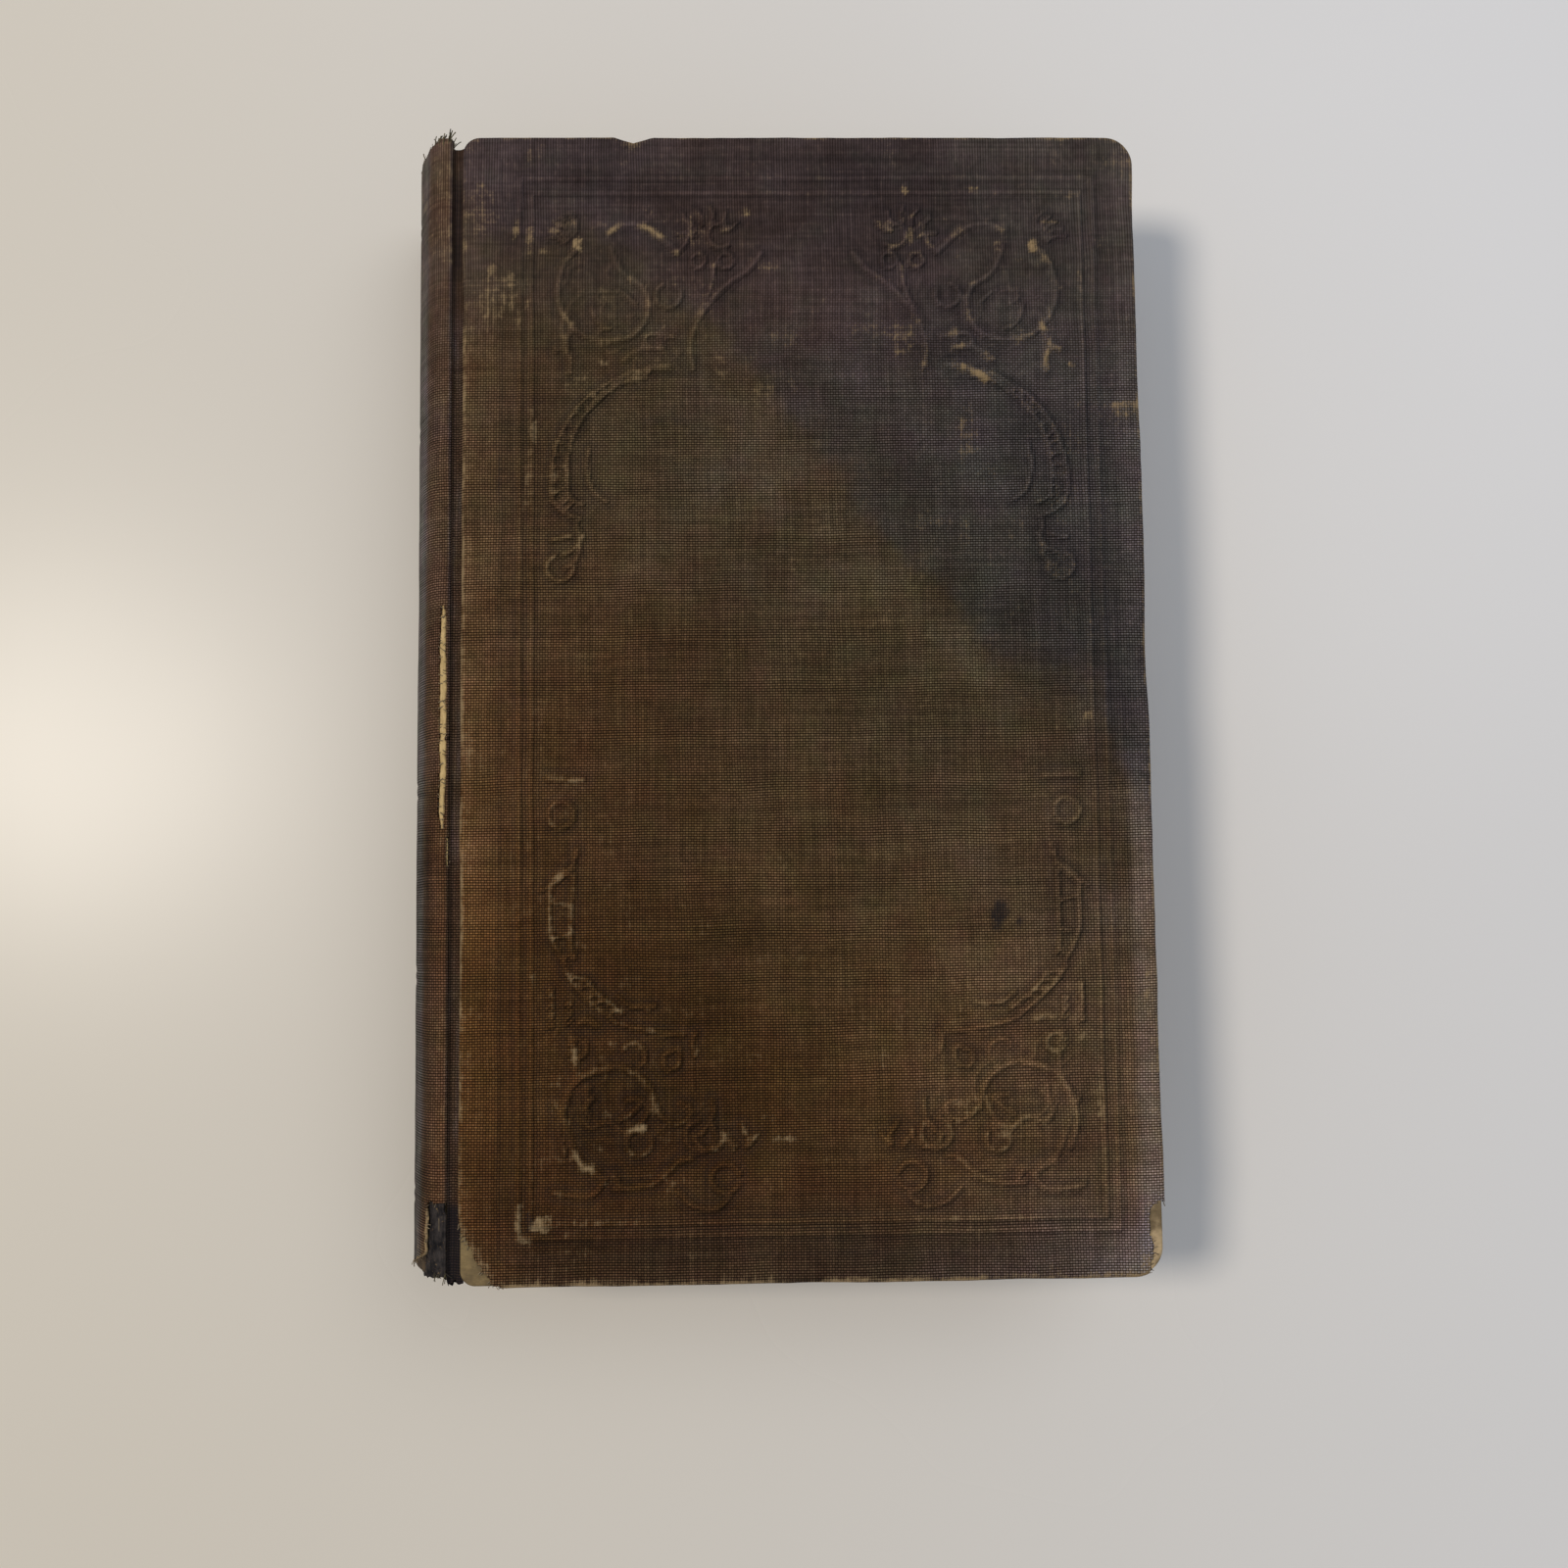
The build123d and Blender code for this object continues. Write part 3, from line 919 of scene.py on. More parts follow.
TAIL_STROKES = (
    (((18.1, 39.6), (18.8, 36.8), (18.7, 33.2), (17.6, 30.2), (16.9, 27.8), (17.3, 25.2),
     (18.6, 21.6), (20.2, 18.8)), (0.55, 0.12), 1.1),
    (((15.8, 28.7), (17, 26.8)), (0.55, 0.1)),
    (((20, 18.8), (21.6, 18.2), (23.4, 16.8)), (0.62, 0.2), 1.3),
    (((23.4, 16.8), (22.3, 15.1), (20.2, 14.2), (15.4, 14.9)), (0.26, 0.26), 0.9),
    (((25, 17.6), (25.7, 16.4), (25.8, 15.4)), (0.42, 0.1)),
    (((18.4, 32.3), (20.6, 33.8), (23, 34.6), (25.6, 34.8), (28, 34), (30.2, 32.2), (31.5, 29.6),
     (31.8, 27.6)), (0.4, 0.2)),
    (((20.9, 31.2), (20.5, 28.8), (21.2, 27), (22.8, 25.8)), (0.2, 0.1), 0.8),
    (((25.3, 25), (27, 24.6), (28.6, 25.2), (30.2, 26.8), (30.6, 28.5)), (0.2, 0.3), 0.8),
    (((27, 24), (28.2, 24.6), (29.8, 24.8)), (0.8, 0.3), 1.2),
    (((27, 29.6), (29.6, 29.4), (28.4, 27.8), (27, 26.8), (26, 26.3)), (0.34, 0.1), 0.8),
    (((26.7, 24.3), (24.2, 26), (21.2, 25.2), (19.9, 27.5), (21.7, 29.9)), (0.08, 0.36), 0.9),
    (arc((29, 22.6), 2.0, 30, -230), (0.28, 0.4), 0.8),
    (((32.2, 27.6), (33.4, 26.2), (35.4, 25.6), (37.2, 26.6), (37.3, 28.1), (35.6, 28.9)),
     (0.28, 0.28), 0.8),
    (((26.6, 37.6), (27.8, 38.5), (29.8, 37.6), (30, 35.6), (29, 34.6)), (0.28, 0.12), 0.8),
    (((33, 36.6), (35.6, 37.4), (35.4, 34.8), (33.2, 34.2), (33, 36.6)), (0.24, 0.12), 0.7),
    (((38, 23.4), (38.8, 22), (41, 21.4), (42.6, 22.8), (42.9, 24)), (0.55, 0.15), 0.9),
    (((43, 23.4), (44.4, 21.8)), (0.6, 0.1)),
    (((45.4, 25.2), (46.6, 23.2), (46.4, 21.8), (48, 23.6)), (0.5, 0.1), 0.8),
    (((40.8, 29.2), (40.8, 26.5), (39, 23.8)), (0.26, 0.12), 0.8),
    (((25, 15.4), (28.6, 15.6), (31.4, 16.2), (33.6, 17.8), (35.2, 19.4), (37.4, 20.1)),
     (0.22, 0.24), 0.9),
    (arc((43, 16.8), 2.3, 20, 330), (0.16, 0.14), 0.8),
    (((24.5, 34.5), (20.5, 33.4), (18, 31.2), (16.5, 28.4), (16.1, 25), (17.2, 21)), (0.05, 0.32), 0.9),
    (arc((39, 23.6), 2.5, 100, 400), (0.04, 0.34), 0.8),
    (((43.4, 13.6), (41.2, 12), (37.7, 12.6), (35.2, 14.8)), (0.1, 0.22), 0.8),
    (((26, 41.7), (29, 40.8), (33, 40.1), (36.4, 39.7)), (0.52, 0.1), 0.8),
    (((38.3, 40), (37.7, 38.4), (38.2, 36.4)), (0.4, 0.1), 0.8),
    (((19.4, 41.9), (21, 42.3), (22.2, 41.6)), (0.5, 0.42), 1.1),
    (arc((19.2, 37.8), 1.5, -150, 160), (0.08, 0.5), 0.8),
    (((14.4, 81.6), (20, 81.3)), (0.45, 0.1)),
    (arc((16.5, 75.6), 2.1, -20, 310), (0.32, 0.3), 0.8),
    (((19.2, 70), (18.2, 67), (16.2, 65), (13.4, 63.4)), (0.06, 0.3), 0.8),
    (((15, 64.2), (18.5, 66.9)), (0.4, 0.1), 0.8),
    (((31.7, 44.5), (28, 44.4), (25.7, 46)), (0.04, 0.4), 0.7),
)


@dataclass(frozen=True)
class Strap:
    """A curved double line with rungs across it."""

    outer: tuple[Point, ...]
    inner: tuple[Point, ...]
    rungs: int
    rubbed: Point = (0.25, 0.2)

    def strokes(self) -> list[Stroke]:
        """Its two lines and its rungs.

        Returns:
            The strokes.
        """
        lines = [Stroke(self.outer, self.rubbed, 0.8), Stroke(self.inner, self.rubbed, 0.8)]
        a, b = curve_through(self.outer), curve_through(self.inner)
        for share in np.linspace(0.08, 0.92, self.rungs):
            p, q = a[int(share * (len(a) - 1))], b[int(share * (len(b) - 1))]
            lines.append(Stroke((tuple(p), tuple(q)), self.rubbed, 0.55))
        return lines


@dataclass
class StampedPanel:
    """The blind-stamped panel: a double frame, and scrollwork in the four corners."""

    middle: float = 58.0
    height: float = 0.27
    frame_height: float = 0.22
    pressed: float = 0.07
    ridges: tuple[Edges, ...] = ((9.7, 106.5, 7.9, 183.4), (11.7, 104.3, 9.9, 180.8))
    step: Edges = (6.5, 109.9, 4.7, 186.9)
    veined: tuple[Point, ...] = ((148.0, 178.0), (12.5, 46.0))

    def head_corner(self) -> list[Stroke]:
        """Scrollwork of a corner at the head.

        Returns:
            Its strokes.
        """
        made = [Stroke(*row) for row in HEAD_STROKES]
        made += fan((20.6, 171.2), 3.4, 6.6, 108, 158, 5, (0.36, 0.14))
        made += fan((41.5, 172.8), 2.6, 5.4, 25, 165, 6, (0.2, 0.34))
        made += Strap(
            (
                (31.4, 150.4), (27.2, 149.4), (24, 147.6), (20.3, 144.8), (17.6, 141.2), (15.8, 137.3),
                (15, 133), (15.1, 128.2), (16.6, 126.2), (19.8, 124.8)
            ),
            (
                (30.5, 148.8), (26.6, 147.8), (23, 145.2), (20.3, 142.2), (18.4, 138.4), (17.6, 134.4),
                (17.6, 130.4), (18.2, 128.2), (20, 127.2)
            ),
            17,
            (0.3, 0.2),
        ).strokes()
        return made

    def tail_corner(self) -> list[Stroke]:
        """Scrollwork of a corner at the tail.

        Returns:
            Its strokes.
        """
        made = [Stroke(*row) for row in TAIL_STROKES]
        made += Strap(
            ((18.4, 67.2), (15.2, 64.8), (14.7, 60), (15, 56), (16.2, 53), (17.4, 51)),
            ((18.5, 65.6), (18.3, 62), (18.2, 58), (18.1, 54.6), (18.6, 52.4)),
            4,
            (0.42, 0.14),
        ).strokes()
        made += Strap(
            ((17.4, 50), (18.8, 47.8), (21.4, 45.2), (25.4, 42)), ((20.6, 48.8), (22.8, 46.2), (26.4, 43.4)),
            5, (0.46, 0.34)
        ).strokes()
        for k in range(5):
            made.append(Stroke(arc((14.9, 41.6 + 1.35 * k), 0.45, 0, 320), (0.34, 0.3), 0.5))
        for k in range(3):
            made.append(Stroke(arc((17.7, 42.2 + 1.35 * k), 0.45, 0, 320), (0.26, 0.34), 0.5))
        return made

    def lay(self, u: Array, v: Array) -> tuple[Array, Array, Array]:
        """Press the panel into the cloth.

        Args:
            u: Cloth coordinates, in one row.
            v: Cloth coordinates, in one row.

        Returns:
            Relief in millimetres, how pale each place has rubbed, and how dark dirt and painted shade make it
            beside the raised lines.
        """
        relief, rub, soil_and_shade = np.zeros(len(u)), np.zeros(len(u)), np.zeros(len(u))
        broken = np.clip(0.75 + 1.5 * cloud(u, v, 2.6, 41, 3), 0.05, 1.6)
        for stroke in [*self.head_corner(), *self.tail_corner()]:
            line = curve_through(stroke.points)
            for half in (0, 1):
                run = line if half == 0 else np.column_stack([2 * self.middle - line[:, 0], line[:, 1]])
                low, high = run.min(0) - 2, run.max(0) + 2
                near = np.flatnonzero((u > low[0]) & (u < high[0]) & (v > low[1]) & (v < high[1]))
                if not len(near):
                    continue
                gap, _ = distance_to(run, u[near], v[near])
                ridge = hump(gap, 0, 0.62 * stroke.width)
                relief[near] = np.maximum(relief[near], self.height * ridge)
                # The hollow beside each raised line is darkened: dirt, and painted shade cast by the line.
                groove = hump(gap, 1.25 * stroke.width, 0.6 * stroke.width)
                relief[near] -= 0.045 * groove * (relief[near] < 0.1)
                soil_and_shade[near] = np.maximum(soil_and_shade[near], 0.34 * groove)
                rub[near] = np.maximum(rub[near], 0.9 * stroke.rubbed[half] * ridge * broken[near])
        from_side = np.minimum(u, 2 * self.middle - u)
        vein = hump(cloud(from_side, v, 5.2, 43, 2), 0, 0.11)
        for low_v, high_v in self.veined:
            across = smooth((from_side - 13.5) / 2) * smooth((44 - from_side) / 6)
            zone = across * smooth((v - low_v) / 3) * smooth((high_v - v) / 3)
            relief = np.maximum(relief, 0.42 * self.height * vein * zone)
            rub = np.maximum(rub, 0.17 * vein * zone * broken)
        for edges in self.ridges:
            gap = past_edges(u, v, edges)
            ridge = hump(gap, 0, 0.42)
            relief += self.frame_height * ridge
            rub = np.maximum(rub, 0.10 * ridge * broken)
            # Darker beside the frame lines too: dirt and painted shade.
            soil_and_shade = np.maximum(soil_and_shade, 0.22 * hump(np.abs(gap), 0.95, 0.45))
        gap = past_edges(u, v, self.step)
        # And at the step of the pressed panel: dirt and painted shade.
        soil_and_shade = np.maximum(soil_and_shade, 0.2 * hump(gap, 0, 0.5))
        clear = np.clip(1 - rub / 0.25, 0, 1)
        return relief - self.pressed * smooth(0.5 - gap / 0.7), rub, soil_and_shade * clear


@dataclass(frozen=True)
class Blot:
    """A worn or marked patch on a cover: its middle, half-sizes and strength."""

    u: float
    v: float
    wide: float
    tall: float
    strength: float

    def over(self, u: Array, v: Array) -> Array:
        """Its strength at each place, with a ragged rim.

        Args:
            u: Cloth coordinates.
            v: Cloth coordinates.

        Returns:
            Values of 0 to a little over the strength.
        """
        ragged = 0.35 * cloud(u, v, 1.6, 17, 3)
        gap = np.hypot((u - self.u) / self.wide, (v - self.v) / self.tall) + 1.2 * ragged
        return self.strength * smooth((1.25 - gap) / 0.6) * (0.86 + 0.42 * cloud(u, v, 1.0, 19, 2))


RUBBED_FRONT = tuple(
    Blot(*row)
    for row in (
        (3.2, 177.5, 3.0, 4.2, 0.30), (6.0, 163.5, 4.6, 4.6, 0.45), (2.2, 156.5, 3, 1.4, 0.2),
        (11.8, 141, 0.8, 3.6, 0.5), (11.0, 129.5, 0.9, 3.4, 0.5), (11.4, 135, 0.5, 3, 0.35),
        (15.4, 132.4, 1.2, 1, 0.45), (9.6, 158.5, 0.5, 2, 0.5), (9.0, 174.2, 0.4, 2.2, 0.75),
        (11.2, 172, 0.6, 3, 0.45), (19.3, 171.7, 1.0, 1.3, 1.1), (96.4, 171.5, 0.9, 1.1, 0.95),
        (75.4, 173.4, 0.8, 1.5, 0.6), (73.6, 155.5, 2.6, 3.2, 0.36), (67.5, 157, 3, 2.4, 0.18),
        (84.6, 139, 1.6, 5, 0.34), (111.6, 143.3, 2.6, 1.6, 0.42), (50.4, 146.6, 1.7, 0.9, 0.5),
        (43, 151, 1.4, 2.6, 0.25), (47.7, 177.5, 0.9, 0.7, 0.55), (74.5, 181.3, 1, 0.7, 0.65),
        (86.2, 181.3, 1, 0.7, 0.6), (102.5, 180.5, 2.4, 1.1, 0.3), (99.4, 175.6, 1.8, 0.4, 0.55),
        (104, 166.2, 0.8, 1, 0.4), (94.2, 169, 0.9, 0.5, 0.5), (83.4, 169.5, 0.6, 0.6, 0.5),
        (102.2, 150.7, 1, 0.6, 0.6), (96.3, 143.8, 0.9, 0.5, 0.45), (23.7, 151.3, 0.8, 0.6, 0.7),
        (19.6, 148.5, 0.9, 0.5, 0.5), (17.6, 147.2, 0.6, 0.8, 0.35), (20.2, 163.9, 0.6, 0.4, 0.5),
        (13.9, 170.6, 0.8, 0.6, 0.6), (31.2, 177.8, 0.6, 0.8, 0.3), (31.7, 169.4, 0.5, 0.4, 0.3),
        (18.6, 137, 0.5, 0.7, 0.3), (92.0, 94.8, 1.1, 1.2, 0.4), (89.6, 70.2, 1.3, 0.5, 0.35),
        (103.6, 91.2, 0.8, 0.7, 0.5), (101, 89.5, 5, 0.5, 0.2), (13.6, 9.9, 1.9, 1.4, 0.8),
        (20, 10, 8, 0.5, 0.4), (53, 22.9, 2.1, 0.6, 0.5), (49.8, 26.2, 1.2, 0.8, 0.3),
        (104, 25.5, 0.7, 5.6, 0.5), (103.8, 29.4, 1.1, 1.2, 0.45), (106.4, 24, 0.35, 17, 0.28),
        (88, 9.8, 16, 0.5, 0.24), (101.6, 38.8, 1.1, 0.7, 0.5), (88, 23.4, 2, 1.1, 0.42),
        (68.5, 35.5, 1, 1.4, 0.3), (12, 49.5, 0.8, 2, 0.3), (37.2, 43, 0.7, 0.6, 0.3),
        (12, 26, 1, 2.4, 0.25), (95.5, 17.6, 1.2, 1.1, 0.3), (102.5, 12, 1.6, 2, 0.2),
        (22.5, 21.8, 1, 0.6, 0.3), (24, 27.4, 0.8, 0.8, 0.3), (65, 42, 0.8, 1, 0.24),
        (112.4, 45, 1, 6, 0.4),
    )
)
SOILED_FRONT = tuple(
    Blot(*row)
    for row in (
        (8.4, 174.5, 1.9, 5.0, 0.30), (11.0, 167.5, 3.2, 3.6, 0.26), (26.0, 168.0, 5.0, 6.0, 0.16),
        (88, 58.6, 1.3, 2.4, 0.95), (91.3, 57.3, 0.6, 0.8, 0.85), (6.2, 132, 0.4, 3.2, 0.45),
        (27.5, 51.9, 0.5, 0.5, 0.5), (11.3, 10.6, 0.5, 1.3, 0.95), (85, 147.4, 4.4, 1.5, 0.32),
        (83.4, 152.2, 3.2, 0.8, 0.4), (92, 144.6, 1, 1.4, 0.4), (93.5, 138, 2, 3.6, 0.25),
        (76, 156, 1.1, 4.4, 0.3), (8, 137, 2, 5, 0.14), (110.2, 100, 3.6, 13, 0.22),
        (34.5, 141.6, 4, 0.9, 0.25),
    )
)
HOOK_SCRATCH = ((9.9, 13), (9.6, 9.2), (10.2, 7.6), (11.4, 7.2))
TIDE_LINE = (
    (-14, 181), (4, 178), (20, 173), (38, 167), (46, 158), (53, 150), (61.5, 134),
    (70, 123), (81.5, 113.5), (88, 102), (105.5, 94.5), (112.7, 76), (122, 66),
)


# --- Covers ----------------------------------------------------------------------------


@dataclass
class Cover:
    """The cloth over one board: its face, its rounded edges and its turned-in margin."""

    side: Side
    cell: float = 0.5
    edge_round: float = 0.75
    spine_corner: float = 2.8
    fore_corner: float = 5.0
    turn_in_shown: float = 5.0
    dent_place: float = 28.7
    dent_width: float = 6.6
    dent_depth: float = 1.5
    cloth: float = 0.4
    sunk: float = 0.18
    turned_under: int = 7
    panel: StampedPanel = field(default_factory=StampedPanel)

    def __post_init__(self) -> None:
        """Read its place from the frame."""
        self.low, self.high = node_box(f"{self.side.value}_cloth")
        self.wide, self.tall = self.high[0] - self.low[0], self.high[1] - self.low[1]
        self.depth = self.high[2] - self.low[2]
        self.rim = np.zeros((0, 3))
        self.rim_aim = np.zeros((0, 3))

    def face_grid(self) -> tuple[Array, Array]:
        """Cloth coordinates of the flat face, its corners rounded and its head edge dented.

        Returns:
            The two coordinates of each corner.
        """
        e = self.edge_round
        w, h = self.wide - 2 * e, self.tall - 2 * e
        a, b = np.meshgrid(
            np.linspace(0, w, round(w / self.cell) + 1), np.linspace(0, h, round(h / self.cell) + 1),
            indexing="ij"
        )
        for radius, at_fore in ((self.spine_corner - e, False), (self.fore_corner - e, True)):
            for at_head in (False, True):
                p = a - (w - radius) if at_fore else radius - a
                q = b - (h - radius) if at_head else radius - b
                inside = (p > 0) & (q > 0)
                p, q = p[inside], q[inside]
                reach = np.maximum(p, q)
                turn = np.where(p >= q, q / np.maximum(p, 1e-9), 2 - p / np.maximum(q, 1e-9)) * math.pi / 4
                p, q = reach * np.cos(turn), reach * np.sin(turn)
                a[inside] = w - radius + p if at_fore else radius - p
                b[inside] = h - radius + q if at_head else radius - q
        u, v = a + e, b + e
        if self.side is Side.FRONT:
            dent = np.clip(1 - np.abs(u - self.dent_place) / (self.dent_width / 2), 0, 1) ** 0.8
            v -= self.dent_depth * dent * np.clip(1 - (self.tall - v) / 5, 0, 1) ** 2
            wave = 0.18 * cloud(v, v * 0, 17.0, 6, 2) * np.clip(1 - (self.wide - u) / 12, 0, 1)
            u = u + wave
        return u, v

    def gone(self, u: Array, v: Array) -> Array:
        """How far inside a worn-away patch each place lies, in millimetres.

        Args:
            u: Cloth coordinates.
            v: Cloth coordinates.

        Returns:
            Depths, negative outside the patches.
        """
        ragged = 0.9 * cloud(u, v, 3.4, 23, 4) + 0.35 * cloud(u, v, 0.9, 29, 2)
        spine = (6.2 - u - 0.6 * v) * 0.857 + 0.7 * ragged
        fore = 2.7 + 0.5 * ragged - np.hypot(
            (self.wide + 0.4 - u) * 0.95, np.maximum(np.abs(v - 5.2) - 4.6, 0) * 1.1
        )
        return np.maximum(spine, fore)

    def above_tide(self, u: Array, v: Array) -> Array:
        """How far past the edge of the old damp stain each place lies, towards the head."""
        line = np.interp(u, *np.array(TIDE_LINE, float).T)
        return v - line + 4.0 * cloud(u, v, 6, 9, 4) + 6 * cloud(u, v, 24, 10, 3)

    def greyed(self, u: Array, v: Array, above: Array, wet: Array) -> Array:
        """How far the colour of each place has gone from rust to slate.

        Args:
            u: Cloth coordinates.
            v: Cloth coordinates.
            above: How far past the damp stain each place lies.
            wet: How far each place has been wet.

        Returns:
            Values of 0 to 1.
        """
        cool = 0.30 + 0.0030 * np.maximum(v - 42, 0) + 0.0035 * np.maximum(u - 24, 0)
        cool += 0.010 * np.maximum(17 - v, 0)
        by_damp = np.interp(u, (5, 45, 80, 112), (0.06, 0.06, 0.09, 0.12))
        cool += by_damp * wet - 0.05 * smooth((above + 34) / 12) * (1 - wet)
        by_head = 0.12 * smooth((v - 148) / 18) * smooth((44 - u) / 24)
        cool += by_head + 0.05 * smooth((14 - v) / 8) * smooth((u - 40) / 30)
        cool += 0.13 * smooth((u - 108.5) / 2.5)
        return np.clip((np.minimum(cool, 0.93) - 0.34) / 0.58 + 0.10 * cloud(u, v, 34, 3, 5), 0, 1)

    def greened(self, u: Array, v: Array, wet: Array) -> Array:
        """How far the colour of each place leans from plum to olive.

        Args:
            u: Cloth coordinates.
            v: Cloth coordinates.
            wet: How far each place has been wet.

        Returns:
            Values of 0 to 1.
        """
        olive = (
            0.42 + 0.34 * soft_spot(u, v, (76, 108), (26, 26)) + 0.25 * soft_spot(u, v, (30, 140), (20, 26))
        )
        olive -= 0.42 * wet * smooth((v - 140) / 25) * smooth((92 - u) / 20) + 0.14 * smooth((26 - v) / 18)
        olive += 0.22 * soft_spot(u, v, (58, 56), (26, 34))
        return np.clip(olive, 0, 1)

    def faded(self, u: Array, v: Array, above: Array, wet: Array) -> Array:
        """How light each place is beside the plain cloth.

        Args:
            u: Cloth coordinates.
            v: Cloth coordinates.
            above: How far past the damp stain each place lies.
            wet: How far each place has been wet.

        Returns:
            Values about 1, higher where it is lighter.
        """
        broad, fine, slub_and_crest_light = cloud(u, v, 34, 3, 5), cloud(u, v, 7, 4, 4), cloud(u * 0.3, v, 2.2, 5, 3)
        fade_and_shading = (
            (1.10 + 0.16 * broad + 0.14 * fine + 0.08 * slub_and_crest_light)
            * (1 + 0.07 * soft_spot(u, v, (58, 56), (26, 34)))
        )
        fade_and_shading *= 1 - 0.36 * soft_spot(u, v, (31, 22), (21, 34))
        fade_and_shading *= 1 + 0.42 * smooth((u - 58) / 30) * smooth((92 - v) / 50) * (0.5 + 0.5 * smooth((v + 4) / 26))
        fade_and_shading *= 1 + 0.40 * smooth((u - 102) / 9) * smooth((62 - v) / 30)
        fade_and_shading *= 1 - 0.20 * soft_spot(u, v, (104, 112), (22, 26))
        fade_and_shading *= 1 + 0.25 * smooth((24 - u) / 24) * smooth((v - 4) / 60)
        rim_of_damp = 0.15 * hump(above, -10, 8) - 0.16 * hump(above, 7, 9)
        fade_and_shading *= 1 + smooth((u - 34) / 16) * (rim_of_damp - 0.05 * wet * smooth((170 - v) / 20))
        fade_and_shading *= 1 - 0.20 * smooth((v - 164) / 10) * smooth((98 - u) / 20)
        fade_and_shading *= 1 - 0.30 * smooth((11 - v) / 7) * smooth((u - 5) / 7) * smooth((100 - u) / 16)
        fade_and_shading *= 1 - 0.18 * soft_spot(u, v, (27, 60), (20, 20))
        by_joint = np.interp(v, (100, 150, 185), (0.24, 0.12, 0.0))
        fade_and_shading *= 1 + smooth((3.6 - u) / 3.0) * (0.8 + 0.5 * fine) * by_joint
        fade_and_shading *= (
            1 + 0.45 * smooth((u - 109.3) / 1.6) * smooth((88 - v) / 24) + 0.16 * smooth((u - 109.3) / 1.0)
        )
        return np.clip(fade_and_shading, 0.35, 2.6)

    def rubbed(self, u: Array, v: Array, out: Array) -> Array:
        """How pale each place has worn, most at the edges and corners.

        Args:
            u: Cloth coordinates.
            v: Cloth coordinates.
            out: How far past the flat face each place is.

        Returns:
            Values of 0 to 1.2.
        """
        fine = cloud(u, v, 7, 4, 4)
        patches = (
            np.clip(cloud(u, v, 4, 12, 5) - 0.3, 0, 1) * np.clip(0.4 + 1.4 * cloud(u, v, 40, 13, 2), 0, 1)
        )
        rub = 0.04 + 0.22 * patches
        rub += 0.20 * smooth((3 - u) / 3.4) * np.clip(0.7 + 1.4 * fine, 0, 1.4) * smooth((182 - v) / 10)
        at_fore = smooth((self.wide - 2.2 - u) / -2.2)
        rub += 0.20 * at_fore * smooth((92 - v) / 30) * np.clip(0.8 + fine, 0, 2)
        corner = np.hypot(self.wide - u, self.tall - v)
        rub += 0.48 * smooth((9 - corner) / 6) * np.clip(0.9 + 1.2 * fine, 0, 2)
        arris = hump(out, 0.75, 0.75) + 0.25 * smooth((out - 0.8) / 0.8)
        rub += 0.50 * smooth(out / 0.15) * arris * np.clip(0.6 + 1.0 * cloud(u, v, 5, 15, 4), 0.1, 1.3)
        at_tail = 0.7 * smooth((1.9 - v) / 1.5) * smooth((u - 4) / 3) * np.clip(0.7 + 1.2 * fine, 0.1, 1.3)
        rub += at_tail * np.interp(u, (10, 30, 100), (1.0, 0.45, 0.6))
        if self.side is Side.FRONT:
            for blot in RUBBED_FRONT:
                rub = np.maximum(rub, blot.over(u, v))
            gap, _ = distance_to(np.array(HOOK_SCRATCH), u, v)
            rub = np.maximum(rub, 0.8 * hump(gap, 0, 0.55))
            near = np.abs(self.gone(u, v))
            rub = np.maximum(rub, 0.55 * hump(near, 0, 1.2) * np.clip(0.9 + fine, 0.2, 1.4))
            dent = np.hypot(u - self.dent_place, v - self.tall + 0.8)
            rub = np.maximum(rub, 0.75 * hump(dent, 0, 1.6))
        return np.clip(rub, 0, 1.2)

    def soiled(self, u: Array, v: Array) -> Array:
        """How much dirt each place holds, and how much darker it is made near and round the edges.

        Args:
            u: Cloth coordinates.
            v: Cloth coordinates.

        Returns:
            Values of 0 to 1.
        """
        soil_and_shade = 0.22 * smooth((self.from_edge(u, v) - 2) / -3) * np.clip(cloud(u, v, 9, 14, 3), 0, 1)
        if self.side is Side.FRONT:
            for blot in SOILED_FRONT:
                soil_and_shade = np.maximum(soil_and_shade, blot.over(u, v))
        return np.clip(soil_and_shade, 0, 1)

    def from_edge(self, u: Array, v: Array) -> Array:
        """How far each place lies from the nearest edge of the cover."""
        return np.minimum(np.minimum(u, self.wide - u), np.minimum(v, self.tall - v))

    def stains(self, u: Array, v: Array, out: Array) -> dict[str, Array]:
        """Colour fields of the cloth.

        Args:
            u: Cloth coordinates.
            v: Cloth coordinates.
            out: How far past the flat face each place is, round the edge.

        Returns:
            How grey, olive, faded, rubbed and soiled each place is.
        """
        above = self.above_tide(u, v)
        wet = smooth(0.5 + above / 8)
        return {
            "grey": self.greyed(u, v, above, wet),
            "olive": self.greened(u, v, wet),
            "fade_and_shading": self.faded(u, v, above, wet),
            "rub": self.rubbed(u, v, out),
            "soil_and_shade": self.soiled(u, v),
        }

    def outline(self, columns: int, rows: int) -> Array:
        """Numbers of the outer corners of the face, in order round it.

        Args:
            columns: The grid's columns.
            rows: The grid's rows.

        Returns:
            Corner numbers.
        """
        order = [i * rows for i in range(columns)] + [(columns - 1) * rows + j for j in range(1, rows)]
        order += [i * rows + rows - 1 for i in range(columns - 2, -1, -1)] + list(range(rows - 2, 0, -1))
        return np.array(order)

